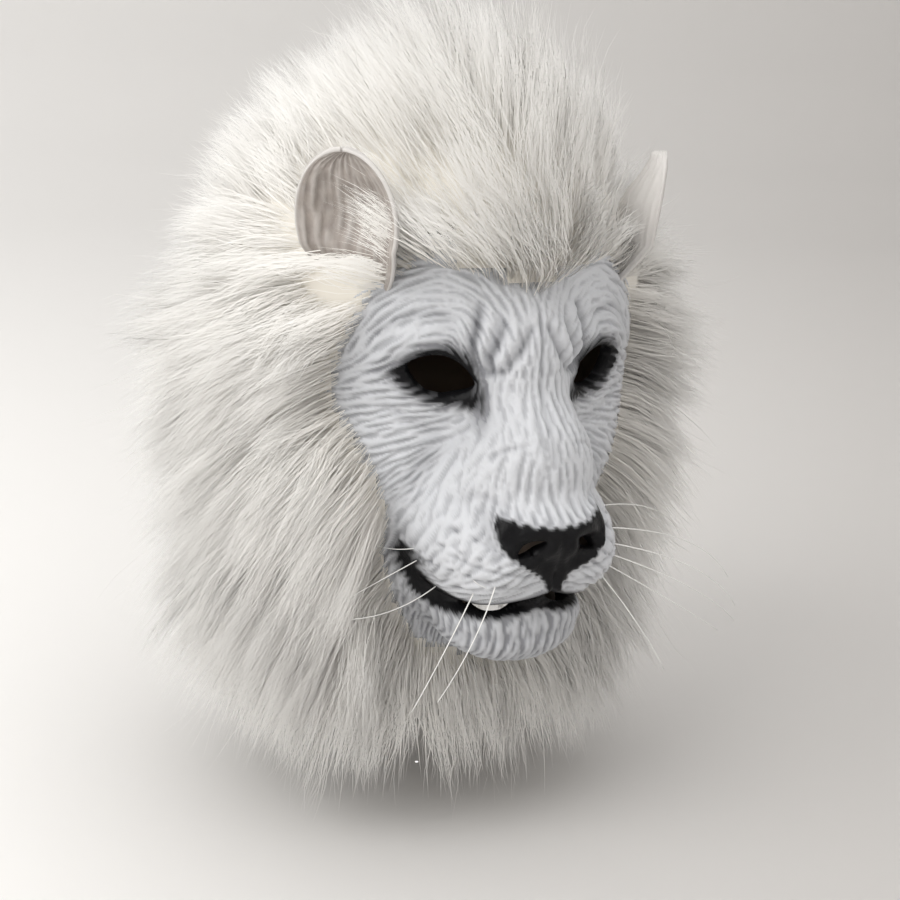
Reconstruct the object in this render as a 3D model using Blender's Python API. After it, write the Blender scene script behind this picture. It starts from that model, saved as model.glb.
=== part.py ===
"""A full-head lion mask: a hollow latex hood with open eyes, nostrils and mouth, two cupped ears and a
long-pile mane. Metres, +Z up, the face looks along -Y, and the origin is the inside of the crown,
where the mask sits on a head."""

import math

import bmesh
import bpy
import numpy as np
from mathutils import Matrix, Vector

# Latex hood. Depths are below the inside of the crown, reaches are in front of the head's axis.
WALL = 0.0020
HEAD_WIDTH = 0.184
HEAD_LENGTH = 0.208
CRANIUM_HEIGHT = 0.194
NECK_WIDTH = 0.160
NECK_LENGTH = 0.172
RIM_DEPTH = 0.276
FACE_WIDTH = 0.156
MUZZLE_REACH = 0.132
CHIN_DEPTH = 0.252
NECK_BLEND = 0.030
NECK_TOP = 0.116

# Eye holes, nostrils and mouth slit
EYE_DEPTH = 0.115
EYE_SPACING = 0.078
EYE_WIDTH = 0.032
EYE_HEIGHT = 0.021
EYE_SLANT = math.radians(14)
EYE_SPLAY = math.radians(24)
NOSTRIL_DEPTH = 0.1825
NOSTRIL_SPACING = 0.027
NOSTRIL_WIDTH = 0.014
NOSTRIL_HEIGHT = 0.0070
NOSTRIL_SLANT = math.radians(28)
MOUTH_DEPTH = 0.2085
MOUTH_WIDTH = 0.060
MOUTH_GAP = 0.0056
MOUTH_CURVE = 0.009

# Ears
EAR_WIDTH = 0.054
EAR_HEIGHT = 0.055
EAR_CUP = 0.016
EAR_WALL = 0.0026
EAR_STAND_OFF = 0.008
EAR_BASE_DEPTH = 0.075
EAR_AZIMUTH = math.radians(43)
EAR_SPLAY = math.radians(60)
EAR_LEAN = math.radians(8)
EAR_SUNK = 0.12
EAR_WIDEST = 0.45
EAR_BASE_TAPER = 0.35
EAR_SHALLOW = 0.35
EAR_STEPS = 9

# Mane
FUR_BACKING = 0.0080
LOCK_LENGTH = 0.092
LOCK_RADIUS = 0.0230
LOCK_TIP_RADIUS = 0.0050
LOCK_VARIATION = 0.12
LOCK_SUNK = 0.40
LOCK_RISE = 0.275
LOCK_DRIFT = 0.125
LOCK_TAPER = 1.6
WINDOW_TOP = 0.066
WINDOW_BOTTOM = 0.258
WINDOW_WIDTH = 0.150
WINDOW_BACK = 0.030

# Clearances between pieces, and the fineness of the facets.
SEAT_GAP = 0.0004
EAR_CLEARANCE = 0.0020
COLUMNS = 40
FRONT_SHARE = 0.45
LOCK_SIDES = 7
LOCK_RINGS = 6
FUR_VOXEL = 0.0052
FUR_KEPT = 0.056
CUTTER_DEPTH = 0.440

# Forms that swell the hood. Shares of FACE_WIDTH across, MUZZLE_REACH forward and CHIN_DEPTH down, then
# half sizes in shares of the same three, the pitch in degrees and the blend as a share of FACE_WIDTH.
FORMS = (
    # name, side copies, across, forward, down, half width, half reach, half height, pitch, blend
    ("forehead", False, 0.00, 0.28, 0.39, 0.46, 0.45, 0.28, 0, 0.16),
    ("temple", True, 0.26, 0.26, 0.44, 0.22, 0.28, 0.20, 0, 0.14),
    ("brow", True, 0.20, 0.58, 0.38, 0.15, 0.14, 0.062, 12, 0.08),
    ("cheek", True, 0.27, 0.34, 0.62, 0.20, 0.32, 0.17, 0, 0.14),
    ("bridge upper", False, 0.00, 0.650, 0.47, 0.150, 0.22, 0.17, 20, 0.08),
    ("bridge lower", False, 0.00, 0.755, 0.62, 0.210, 0.24, 0.14, 22, 0.08),
    ("nose", False, 0.00, 0.91, 0.705, 0.175, 0.17, 0.062, 10, 0.05),
    ("flew", True, 0.125, 0.745, 0.765, 0.155, 0.29, 0.090, 0, 0.05),
    ("lip middle", False, 0.00, 0.88, 0.775, 0.10, 0.15, 0.075, 0, 0.06),
    ("muzzle core", False, 0.00, 0.60, 0.73, 0.29, 0.36, 0.12, 0, 0.10),
    ("chin", False, 0.00, 0.72, 0.910, 0.215, 0.22, 0.078, 0, 0.05),
    ("jaw", False, 0.00, 0.28, 0.84, 0.34, 0.46, 0.15, 0, 0.12),
)

# Rays that sample the hood, from the crown's pole to the rim: where each leaves the axis and how deep it
# is at the sampling radius, as shares of RIM_DEPTH.
SAMPLING_RADIUS = 0.100
RAY_REACH = 0.240
RAY_START = 0.004
RAY_STEPS = 60
FIELD_STEP = 0.0006
CROWN_CENTRE = 0.36
CROWN_ANGLES = (78, 64, 50, 36)
RAYS = (
    # axis depth, depth at the sampling radius
    (0.370, 0.250), (0.385, 0.300), (0.400, 0.345), (0.415, 0.385), (0.430, 0.420),
    (0.445, 0.455), (0.460, 0.490), (0.475, 0.525), (0.490, 0.560), (0.505, 0.595),
    (0.520, 0.630), (0.535, 0.665), (0.550, 0.697), (0.565, 0.728), (0.580, 0.758),
    (0.595, 0.788), (0.612, 0.820), (0.632, 0.852), (0.656, 0.884), (0.690, 0.916),
    (0.740, 0.945), (0.820, 0.968), (0.910, 0.984), (1.000, 1.000),
)

# Rings of locks from the crown to the rim. Where the ring's rays leave the axis as a share of RIM_DEPTH,
# their rise in degrees, the azimuths of its first and last lock from the face, the locks on a side, their
# length in shares of LOCK_LENGTH, and how far they stand off, sweep away from the face and sag.
MANE_ROWS = (
    # name, depth, rise, first azimuth, last azimuth, locks, length, stand-off, sweep, sag
    ("crown", 0.36, 78, 15, 165, 3, 0.64, 1.00, 0.40, 0.00),
    ("upper crown", 0.36, 58, 8, 172, 6, 0.65, 0.90, 0.55, 0.00),
    ("forelock", 0.36, 40, 7, 172, 8, 0.72, 0.75, 0.75, 0.05),
    ("fringe", 0.36, 26, 8, 50, 4, 0.56, 0.80, 0.95, 0.00),
    ("temple", 0.36, 18, 62, 172, 7, 0.67, 0.85, 0.55, 0.30),
    ("side", 0.42, 0, 66, 172, 7, 0.74, 0.85, 0.40, 0.50),
    ("cheek", 0.54, -4, 62, 172, 7, 0.84, 0.85, 0.35, 0.65),
    ("jaw", 0.66, -8, 58, 172, 7, 0.98, 0.85, 0.35, 0.80),
    ("throat", 0.80, -8, 52, 172, 7, 1.04, 0.75, 0.30, 1.00),
    ("rim", 0.95, 0, 6, 174, 10, 0.74, 0.50, 0.10, 1.30),
)

# The face's opening in the fur from its top middle to its bottom middle, for one half: shares of half
# WINDOW_WIDTH across, and of the height between its top and bottom.
WINDOW_OUTLINE = (
    # across, down
    (0.00, 0.07), (0.30, 0.03), (0.60, 0.00), (0.85, 0.08), (0.98, 0.21), (1.00, 0.32),
    (0.84, 0.45), (0.72, 0.59), (0.68, 0.70), (0.60, 0.83), (0.42, 0.95), (0.00, 1.00),
)


def blended_min(first, second, blend):
    """The lesser of two fields, rounded where they meet."""
    mix = np.maximum(blend - np.abs(first - second), 0.0) / blend
    return np.minimum(first, second) - mix * mix * blend / 4


def ellipsoid(points, centre, radii, pitch=0.0):
    """A field that is zero on an ellipsoid, negative inside it and near to a distance."""
    local = points - np.array(centre)
    turn = np.array(Matrix.Rotation(-pitch, 3, "X"))
    local = local @ turn.T / np.array(radii)
    length = np.linalg.norm(local, axis=-1)
    slope = np.linalg.norm(local / np.array(radii), axis=-1)
    return length * (length - 1) / np.maximum(slope, 1e-9)


def head_field(points):
    """The hood's outer surface as a field: negative inside, zero on the surface."""
    cranium_radii = (HEAD_WIDTH / 2, HEAD_LENGTH / 2, CRANIUM_HEIGHT / 2)
    field = ellipsoid(points, (0, 0, WALL - CRANIUM_HEIGHT / 2), cranium_radii)
    neck_radii = (NECK_WIDTH / 2, NECK_LENGTH / 2, RIM_DEPTH * 4)
    neck_back = (HEAD_LENGTH - NECK_LENGTH) / 2
    neck = ellipsoid(points, (0, neck_back, -RIM_DEPTH), neck_radii)
    neck = np.maximum(neck, points[..., 2] + NECK_TOP)
    field = blended_min(field, neck, NECK_BLEND)
    for name, mirrored, across, forward, down, wide, reach, high, pitch, blend in FORMS:
        radii = (wide * FACE_WIDTH, reach * MUZZLE_REACH, high * CHIN_DEPTH)
        for side in (1, -1) if mirrored else (1,):
            centre = (side * across * FACE_WIDTH, -forward * MUZZLE_REACH, -down * CHIN_DEPTH)
            form = ellipsoid(points, centre, radii, math.radians(pitch))
            field = blended_min(field, form, blend * FACE_WIDTH)
    return field


def ray_hits(sources, directions):
    """Where rays from inside the head leave it: the outermost crossing of the field."""
    steps = np.linspace(RAY_REACH, RAY_START, RAY_STEPS)
    near = np.zeros(len(sources))
    far = np.full(len(sources), steps[0])
    found = np.zeros(len(sources), bool)
    for outer, inner in zip(steps[:-1], steps[1:]):
        inside = head_field(sources + directions * inner) < 0
        fresh = inside & ~found
        near[fresh] = inner
        far[fresh] = outer
        found |= inside
    for _ in range(22):
        middle = (near + far) / 2
        inside = head_field(sources + directions * middle[:, None]) < 0
        near = np.where(inside, middle, near)
        far = np.where(inside, far, middle)
    return sources + directions * near[:, None]


def normals_at(points):
    """The field's outward direction at each point."""
    slope = np.empty_like(points)
    for axis in range(3):
        shift = np.zeros(3)
        shift[axis] = FIELD_STEP
        slope[:, axis] = head_field(points + shift) - head_field(points - shift)
    return slope / np.linalg.norm(slope, axis=1, keepdims=True)


def column_angles():
    """Angles round the axis from the middle of the back, closer together at the face."""
    across = np.arange(COLUMNS) / COLUMNS * 2 - 1
    return math.pi * (FRONT_SHARE * across + (1 - FRONT_SHARE) * across**3)


def hood_grid():
    """The hood's outer points as rows from the crown to the rim, after the crown's own point."""
    angles = column_angles()
    ahead = np.stack([np.sin(angles), -np.cos(angles), np.zeros(COLUMNS)], axis=1)
    rows = []
    for degrees in CROWN_ANGLES:
        rise = math.radians(degrees)
        directions = ahead * math.cos(rise) + np.array([0, 0, math.sin(rise)])
        rows.append(ray_hits(np.tile([0, 0, -CROWN_CENTRE * RIM_DEPTH], (COLUMNS, 1)), directions))
    for axis_depth, outer_depth in RAYS:
        sources = np.tile([0, 0, -axis_depth * RIM_DEPTH], (COLUMNS, 1))
        directions = ahead * SAMPLING_RADIUS + np.array([0, 0, (axis_depth - outer_depth) * RIM_DEPTH])
        directions /= np.linalg.norm(directions, axis=1, keepdims=True)
        rows.append(ray_hits(sources, directions))
    pole = ray_hits(np.array([[0, 0, -CROWN_CENTRE * RIM_DEPTH]]), np.array([[0, 0, 1.0]]))
    return pole[0], np.array(rows)


def hood_faces(row_count, closed_bottom=False):
    """Triangles over the pole and the rows. Point 0 is the pole, and a last one may close the bottom."""
    faces = []
    for column in range(COLUMNS):
        beside = (column + 1) % COLUMNS
        faces.append((0, 1 + column, 1 + beside))
        for row in range(row_count - 1):
            upper = 1 + row * COLUMNS
            lower = upper + COLUMNS
            faces.append((upper + column, lower + column, lower + beside))
            faces.append((upper + column, lower + beside, upper + beside))
        if closed_bottom:
            last = 1 + (row_count - 1) * COLUMNS
            faces.append((last + column, 1 + row_count * COLUMNS, last + beside))
    return faces


def new_object(name, points, faces):
    mesh = bpy.data.meshes.new(name)
    mesh.from_pydata([tuple(point) for point in points], [], faces)
    mesh.validate()
    piece = bpy.data.objects.new(name, mesh)
    bpy.context.collection.objects.link(piece)
    return piece


def finish(piece, colour, roughness):
    material = bpy.data.materials.new(piece.name)
    material.use_nodes = True
    shader = material.node_tree.nodes["Principled BSDF"]
    shader.inputs["Base Color"].default_value = (*colour, 1)
    shader.inputs["Roughness"].default_value = roughness
    piece.data.materials.clear()
    piece.data.materials.append(material)
    piece.data.shade_smooth()
    piece.data.set_sharp_from_angle(angle=math.radians(50))


def cut(piece, cutter):
    """Takes the cutter's volume away from the piece."""
    modifier = piece.modifiers.new(cutter.name, "BOOLEAN")
    modifier.operation = "DIFFERENCE"
    modifier.solver = "EXACT"
    modifier.object = cutter
    cutter.hide_render = True
    cutter.display_type = "WIRE"


def apply_modifiers(piece):
    """Replaces the piece's mesh by what its modifiers make of it."""
    graph = bpy.context.evaluated_depsgraph_get()
    mesh = bpy.data.meshes.new_from_object(piece.evaluated_get(graph))
    piece.modifiers.clear()
    piece.data = mesh


def hood_volume(name, outset):
    """The head's filled outer form, moved out by outset and run past the rim, as a cutter."""
    pole, rows = hood_grid()
    flat = np.vstack([pole[None], rows.reshape(-1, 3)])
    moved = flat + normals_at(flat) * outset
    below = moved[-COLUMNS:] * np.array([1, 1, 0]) - np.array([0, 0, CUTTER_DEPTH])
    centre = np.array([[0, 0, -CUTTER_DEPTH]])
    points = np.vstack([moved, below, centre])
    return new_object(name, points, hood_faces(len(rows) + 1, closed_bottom=True))


def build_hood():
    pole, rows = hood_grid()
    points = np.vstack([pole[None], rows.reshape(-1, 3)])
    hood = new_object("latex_head", points, hood_faces(len(rows)))
    shell = hood.modifiers.new("wall", "SOLIDIFY")
    shell.thickness = WALL
    shell.offset = -1
    shell.use_even_offset = False
    for side in (1, -1):
        cut(hood, eye_cutter(side))
        cut(hood, nostril_cutter(side))
    cut(hood, mouth_cutter())
    return hood


def prism(name, outline, length):
    """A closed prism along Y, centred on it, from an outline of (x, z) points that run clockwise."""
    count = len(outline)
    points = [(x, y, z) for y in (-length / 2, length / 2) for x, z in outline]
    faces = [tuple(range(count)), tuple(range(2 * count - 1, count - 1, -1))]
    for first in range(count):
        second = (first + 1) % count
        faces.append((first, first + count, second + count, second))
    piece = new_object(name, points, faces)
    shape = bmesh.new()
    shape.from_mesh(piece.data)
    bmesh.ops.recalc_face_normals(shape, faces=shape.faces)
    shape.to_mesh(piece.data)
    shape.free()
    return piece


def almond(width, height, count=20):
    """An eye's outline: a lens whose ends are pointed."""
    turns = [2 * math.pi * step / count for step in range(count)]
    return [(width / 2 * math.cos(turn), height / 2 * math.sin(turn) ** 3 * 0.35
             + height / 2 * math.sin(turn) * 0.65) for turn in turns]


def front_point(across, depth):
    """Where a line along Y meets the front of the hood."""
    source = np.array([[across, 0.0, -depth]])
    return ray_hits(source, np.array([[0.0, -1.0, 0.0]]))[0]


def eye_cutter(side):
    centre = front_point(side * EYE_SPACING / 2, EYE_DEPTH)
    hole = prism(f"eye_hole_{side}", almond(EYE_WIDTH, EYE_HEIGHT), HEAD_LENGTH / 4)
    turn = Matrix.Rotation(side * EYE_SPLAY, 4, "Z") @ Matrix.Rotation(-side * EYE_SLANT, 4, "Y")
    hole.matrix_world = Matrix.Translation(Vector(centre)) @ turn
    return hole


def nostril_cutter(side):
    centre = front_point(side * NOSTRIL_SPACING / 2, NOSTRIL_DEPTH)
    hole = prism(f"nostril_{side}", almond(NOSTRIL_WIDTH, NOSTRIL_HEIGHT, 12), MUZZLE_REACH / 4)
    turn = Matrix.Rotation(side * EYE_SPLAY, 4, "Z") @ Matrix.Rotation(side * NOSTRIL_SLANT, 4, "Y")
    hole.matrix_world = Matrix.Translation(Vector(centre)) @ turn
    return hole


def mouth_cutter():
    """A slot that falls away to each side of the middle, as the lips part under the two halves of the muzzle."""
    lower, upper = [], []
    for step in range(13):
        share = step / 6 - 1
        dip = -MOUTH_DEPTH - MOUTH_CURVE * (1 - (1 - abs(share)) ** 2)
        half_gap = MOUTH_GAP / 2 * math.sqrt(max(1 - share**2, 0.02))
        upper.append((share * MOUTH_WIDTH / 2, dip + half_gap))
        lower.append((share * MOUTH_WIDTH / 2, dip - half_gap))
    slot = prism("mouth_slit", upper + lower[::-1], MUZZLE_REACH * 0.75)
    slot.matrix_world = Matrix.Translation((0, -MUZZLE_REACH * 0.9, 0))
    return slot


def ear_root(side):
    """The point of the hood that the ear grows from, and the level direction out to it."""
    outward = np.array([side * math.sin(EAR_AZIMUTH), -math.cos(EAR_AZIMUTH), 0])
    return ray_hits(np.array([[0, 0, -EAR_BASE_DEPTH]]), outward[None])[0], outward


def ear_middle(side):
    root, _ = ear_root(side)
    return root + np.array([0, 0, EAR_HEIGHT / 2])


def ear_surface(side):
    """The ear's cupped leaf as an open grid of points, from its root on the hood to its tip."""
    root, outward = ear_root(side)
    facing = np.array([side * math.sin(EAR_SPLAY), -math.cos(EAR_SPLAY), 0])
    across = np.array([facing[1], -facing[0], 0]) * side
    rise = np.array([0, 0, math.cos(EAR_LEAN)]) + outward * math.sin(EAR_LEAN)
    points = []
    for level in range(EAR_STEPS):
        height = -EAR_SUNK + (1 + EAR_SUNK) * math.sin(math.pi / 2 * level / (EAR_STEPS - 1))
        if height > EAR_WIDEST:
            half = math.sqrt(max(1 - ((height - EAR_WIDEST) / (1 - EAR_WIDEST)) ** 2, 0.02))
        else:
            half = 1 - EAR_BASE_TAPER * ((EAR_WIDEST - height) / EAR_WIDEST) ** 2
        stand_off = EAR_STAND_OFF * min(4 * (height + EAR_SUNK) - 0.5, 1)
        for step in range(EAR_STEPS):
            share = step / (EAR_STEPS - 1) * 2 - 1
            deep = EAR_SHALLOW + (1 - EAR_SHALLOW) * math.sin(math.pi * max(height, 0)) ** 2
            hollow = EAR_CUP * (1 - share**2) * deep
            points.append(root + across * (EAR_WIDTH / 2 * half * share) + rise * (EAR_HEIGHT * height)
                          + facing * (stand_off - hollow))
    faces = []
    for level in range(EAR_STEPS - 1):
        for step in range(EAR_STEPS - 1):
            first = level * EAR_STEPS + step
            faces.append((first, first + 1, first + EAR_STEPS + 1, first + EAR_STEPS))
    return points, faces


def build_ear(side, name, head_cutter):
    ear = new_object(name, *ear_surface(side))
    wall = ear.modifiers.new("wall", "SOLIDIFY")
    wall.thickness = EAR_WALL
    wall.offset = 0
    cut(ear, head_cutter)
    return ear


def ear_clearance(side):
    """A convex volume round an ear, for the opening in the fur that it stands in."""
    points, _ = ear_surface(side)
    volume = new_object(f"ear_clearance_{side}", points, [])
    shape = bmesh.new()
    shape.from_mesh(volume.data)
    bmesh.ops.convex_hull(shape, input=shape.verts)
    loose = [vertex for vertex in shape.verts if not vertex.link_faces]
    bmesh.ops.delete(shape, geom=loose, context="VERTS")
    bmesh.ops.recalc_face_normals(shape, faces=shape.faces)
    shape.normal_update()
    for vertex in shape.verts:
        vertex.co += vertex.normal * (EAR_WALL / 2 + EAR_CLEARANCE)
    shape.to_mesh(volume.data)
    shape.free()
    return volume


def window_cutter():
    """The face's opening in the fur, seen from the front."""
    half = [(WINDOW_WIDTH / 2 * across, -WINDOW_TOP - (WINDOW_BOTTOM - WINDOW_TOP) * down)
            for across, down in WINDOW_OUTLINE]
    outline = half + [(-across, depth) for across, depth in half[-2:0:-1]]
    window = prism("face_window", outline, HEAD_LENGTH * 1.5)
    window.matrix_world = Matrix.Translation((0, -WINDOW_BACK - HEAD_LENGTH * 0.75, 0))
    return window


def lock(root, normal, sweep_direction, length, stand_off, sweep, sag):
    """One tapered lock as points and faces: it leaves the backing square to it, then bends to its flow."""
    aim = normal * stand_off + sweep_direction * sweep - np.array([0, 0, sag])
    aim /= np.linalg.norm(aim)
    start = root - normal * (LOCK_RADIUS * LOCK_SUNK)
    bend = start + (normal * LOCK_RISE + aim * LOCK_DRIFT) * length
    tip = root + aim * length
    points, faces = [], []
    for ring in range(LOCK_RINGS):
        share = ring / (LOCK_RINGS - 1)
        centre = (1 - share) ** 2 * start + 2 * share * (1 - share) * bend + share**2 * tip
        along = Vector((1 - share) * (bend - start) + share * (tip - bend)).normalized()
        frame = along.to_track_quat("Z", "X").to_matrix()
        radius = LOCK_TIP_RADIUS + (LOCK_RADIUS - LOCK_TIP_RADIUS) * (1 - share**LOCK_TAPER)
        for side in range(LOCK_SIDES):
            turn = 2 * math.pi * side / LOCK_SIDES
            points.append(centre + np.array(frame @ Vector((math.cos(turn), math.sin(turn), 0))) * radius)
    for ring in range(LOCK_RINGS - 1):
        for side in range(LOCK_SIDES):
            beside = (side + 1) % LOCK_SIDES
            lower, upper = ring * LOCK_SIDES, (ring + 1) * LOCK_SIDES
            faces.append((lower + side, lower + beside, upper + beside, upper + side))
    faces.append(tuple(range(LOCK_SIDES))[::-1])
    faces.append(tuple(range((LOCK_RINGS - 1) * LOCK_SIDES, LOCK_RINGS * LOCK_SIDES)))
    return points, faces


def mane_locks():
    """Every lock of the mane, as lists of points and faces."""
    chance = np.random.default_rng(7)
    face_middle = np.array([0, -FACE_WIDTH * 0.7, -(WINDOW_TOP + WINDOW_BOTTOM) / 2])
    locks = []
    for name, depth, rise, first, last, count, length, stand_off, sweep, sag in MANE_ROWS:
        for side in (1, -1):
            azimuths = np.radians(np.linspace(first, last, count))
            level = math.radians(rise)
            directions = np.stack([side * np.sin(azimuths) * math.cos(level),
                                   -np.cos(azimuths) * math.cos(level),
                                   np.full(count, math.sin(level))], axis=1)
            sources = np.tile([0, 0, -depth * RIM_DEPTH], (count, 1))
            roots = ray_hits(sources, directions)
            for root, normal in zip(roots, normals_at(roots)):
                if np.linalg.norm(root - ear_middle(side)) < EAR_WIDTH / 2 + LOCK_RADIUS / 2:
                    continue
                away = root - face_middle
                away -= normal * (away @ normal)
                away /= max(np.linalg.norm(away), FUR_BACKING)
                varied = length * LOCK_LENGTH * (1 + LOCK_VARIATION * chance.uniform(-1, 1))
                aside = normal + LOCK_VARIATION * chance.uniform(-1, 1, 3)
                locks.append(lock(root, aside, away, varied, stand_off, sweep, sag))
    return locks


def build_mane(head_cutter, ear_volumes):
    pole, rows = hood_grid()
    flat = np.vstack([pole[None], rows.reshape(-1, 3)])
    flat += normals_at(flat) * FUR_BACKING
    flat = np.vstack([flat, [[0, 0, -RIM_DEPTH]]])
    points = list(flat)
    faces = hood_faces(len(rows), closed_bottom=True)
    for lock_points, lock_faces in mane_locks():
        base = len(points)
        points.extend(lock_points)
        faces.extend(tuple(base + corner for corner in face) for face in lock_faces)
    mane = new_object("mane", points, faces)
    fused = mane.modifiers.new("fused", "REMESH")
    fused.mode = "VOXEL"
    fused.voxel_size = FUR_VOXEL
    fewer = mane.modifiers.new("fewer", "DECIMATE")
    fewer.ratio = FUR_KEPT
    apply_modifiers(mane)
    cut(mane, head_cutter)
    cut(mane, window_cutter())
    for volume in ear_volumes:
        cut(mane, volume)
    return mane


def main():
    for old in list(bpy.data.objects):
        bpy.data.objects.remove(old)
    hood = build_hood()
    head_cutter = hood_volume("head_clearance", SEAT_GAP)
    ears = [build_ear(-1, "ear_right", head_cutter), build_ear(1, "ear_left", head_cutter)]
    mane = build_mane(head_cutter, [ear_clearance(-1), ear_clearance(1)])
    finish(hood, (0.86, 0.87, 0.88), 0.55)
    for ear in ears:
        finish(ear, (0.62, 0.60, 0.58), 0.60)
    finish(mane, (0.90, 0.87, 0.80), 0.85)


main()
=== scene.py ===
"""Looks of a full-head lion mask: painted latex face, cupped ears, long white fur and thin whiskers."""

import sys
import logging
import math
from dataclasses import dataclass, field
from enum import Enum

import bpy
import numpy as np
from mathutils import Matrix, Vector
from mathutils.kdtree import KDTree


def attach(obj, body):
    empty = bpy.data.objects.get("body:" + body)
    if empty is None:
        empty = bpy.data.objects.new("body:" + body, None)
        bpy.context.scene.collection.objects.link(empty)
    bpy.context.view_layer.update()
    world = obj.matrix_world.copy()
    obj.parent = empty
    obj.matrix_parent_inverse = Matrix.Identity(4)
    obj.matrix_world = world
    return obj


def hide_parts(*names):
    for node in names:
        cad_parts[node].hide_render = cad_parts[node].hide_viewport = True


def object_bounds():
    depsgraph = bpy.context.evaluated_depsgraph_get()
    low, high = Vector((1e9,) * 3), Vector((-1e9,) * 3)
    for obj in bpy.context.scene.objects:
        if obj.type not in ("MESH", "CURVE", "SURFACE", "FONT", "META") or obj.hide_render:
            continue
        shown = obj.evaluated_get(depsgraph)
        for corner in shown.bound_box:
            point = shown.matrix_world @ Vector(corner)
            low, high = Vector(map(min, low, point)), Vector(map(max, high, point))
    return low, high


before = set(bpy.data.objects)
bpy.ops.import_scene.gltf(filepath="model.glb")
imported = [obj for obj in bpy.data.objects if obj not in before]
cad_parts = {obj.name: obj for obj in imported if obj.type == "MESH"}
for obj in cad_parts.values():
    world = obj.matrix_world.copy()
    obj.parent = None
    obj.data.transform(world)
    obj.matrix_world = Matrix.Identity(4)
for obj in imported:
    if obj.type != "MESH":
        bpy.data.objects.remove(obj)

LOG = logging.getLogger("lion_mask")
CAD_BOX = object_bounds()
BODY = "root"

Array = np.ndarray


# Small helpers for meshes, fields and materials


def unit(vectors: Array) -> Array:
    """Scales rows of vectors to length one."""
    return vectors / np.maximum(np.linalg.norm(vectors, axis=-1, keepdims=True), 1e-12)


def smooth_step(value: Array, low: float, high: float) -> Array:
    """Rises from 0 to 1 with soft ends.

    Args:
        value: Where to evaluate it.
        low: Where it leaves 0.
        high: Where it reaches 1.

    Returns:
        The share at each value.
    """
    share = np.clip((np.asarray(value) - low) / (high - low), 0.0, 1.0)
    return share * share * (3 - 2 * share)


def within(value: Array, span: tuple[float, float], unit_size: float = 1.0) -> Array:
    """Whether values lie inside a span that is given in units of a size."""
    return (value > span[0] * unit_size) & (value < span[1] * unit_size)


def bell(distance: Array, width: float) -> Array:
    """A soft bump of height one that falls to about a third at the width."""
    return np.exp(-((distance / width) ** 2))


def deselect_all() -> None:
    """Leaves nothing selected, so that an operator acts only on what it makes."""
    bpy.ops.object.select_all(action="DESELECT")


def array_mesh(name: str, points: Array, quads: Array, triangles: Array | None = None) -> bpy.types.Object:
    """Makes an object from arrays of corners.

    Args:
        name: Object name.
        points: Vertex positions.
        quads: Rows of four vertex numbers.
        triangles: Rows of three vertex numbers, if any.

    Returns:
        The new object, linked to the scene.
    """
    triangles = np.empty((0, 3), np.int32) if triangles is None else triangles
    mesh = bpy.data.meshes.new(name)
    corners = np.concatenate([quads.ravel(), triangles.ravel()]).astype(np.int32)
    starts = np.concatenate([np.arange(len(quads)) * 4, len(quads) * 4 + np.arange(len(triangles)) * 3])
    mesh.vertices.add(len(points))
    mesh.vertices.foreach_set("co", np.ascontiguousarray(points, np.float32).ravel())
    mesh.loops.add(len(corners))
    mesh.loops.foreach_set("vertex_index", corners)
    mesh.polygons.add(len(starts))
    mesh.polygons.foreach_set("loop_start", starts.astype(np.int32))
    mesh.update(calc_edges=True)
    mesh.validate()
    piece = bpy.data.objects.new(name, mesh)
    bpy.context.collection.objects.link(piece)
    return piece


def store(piece: bpy.types.Object, name: str, values: Array) -> None:
    """Keeps one number for each vertex, for the piece's own material."""
    layer = piece.data.attributes.new(name, "FLOAT", "POINT")
    layer.data.foreach_set("value", np.ascontiguousarray(values, np.float32))


def settle(piece: bpy.types.Object, node: str, material: bpy.types.Material) -> None:
    """Dresses a finished piece and hands it to the frame.

    Args:
        piece: Finished object.
        node: Node that it stands for, or an empty string for one that adds to the node.
        material: Its finish.
    """
    piece.data.materials.clear()
    piece.data.materials.append(material)
    piece.data.shade_smooth()
    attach(piece, BODY)
    if node:
        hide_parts(node)
    faces = sum(len(polygon.vertices) - 2 for polygon in piece.data.polygons)
    LOG.info("%s: %d triangles", piece.name, faces)


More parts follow.
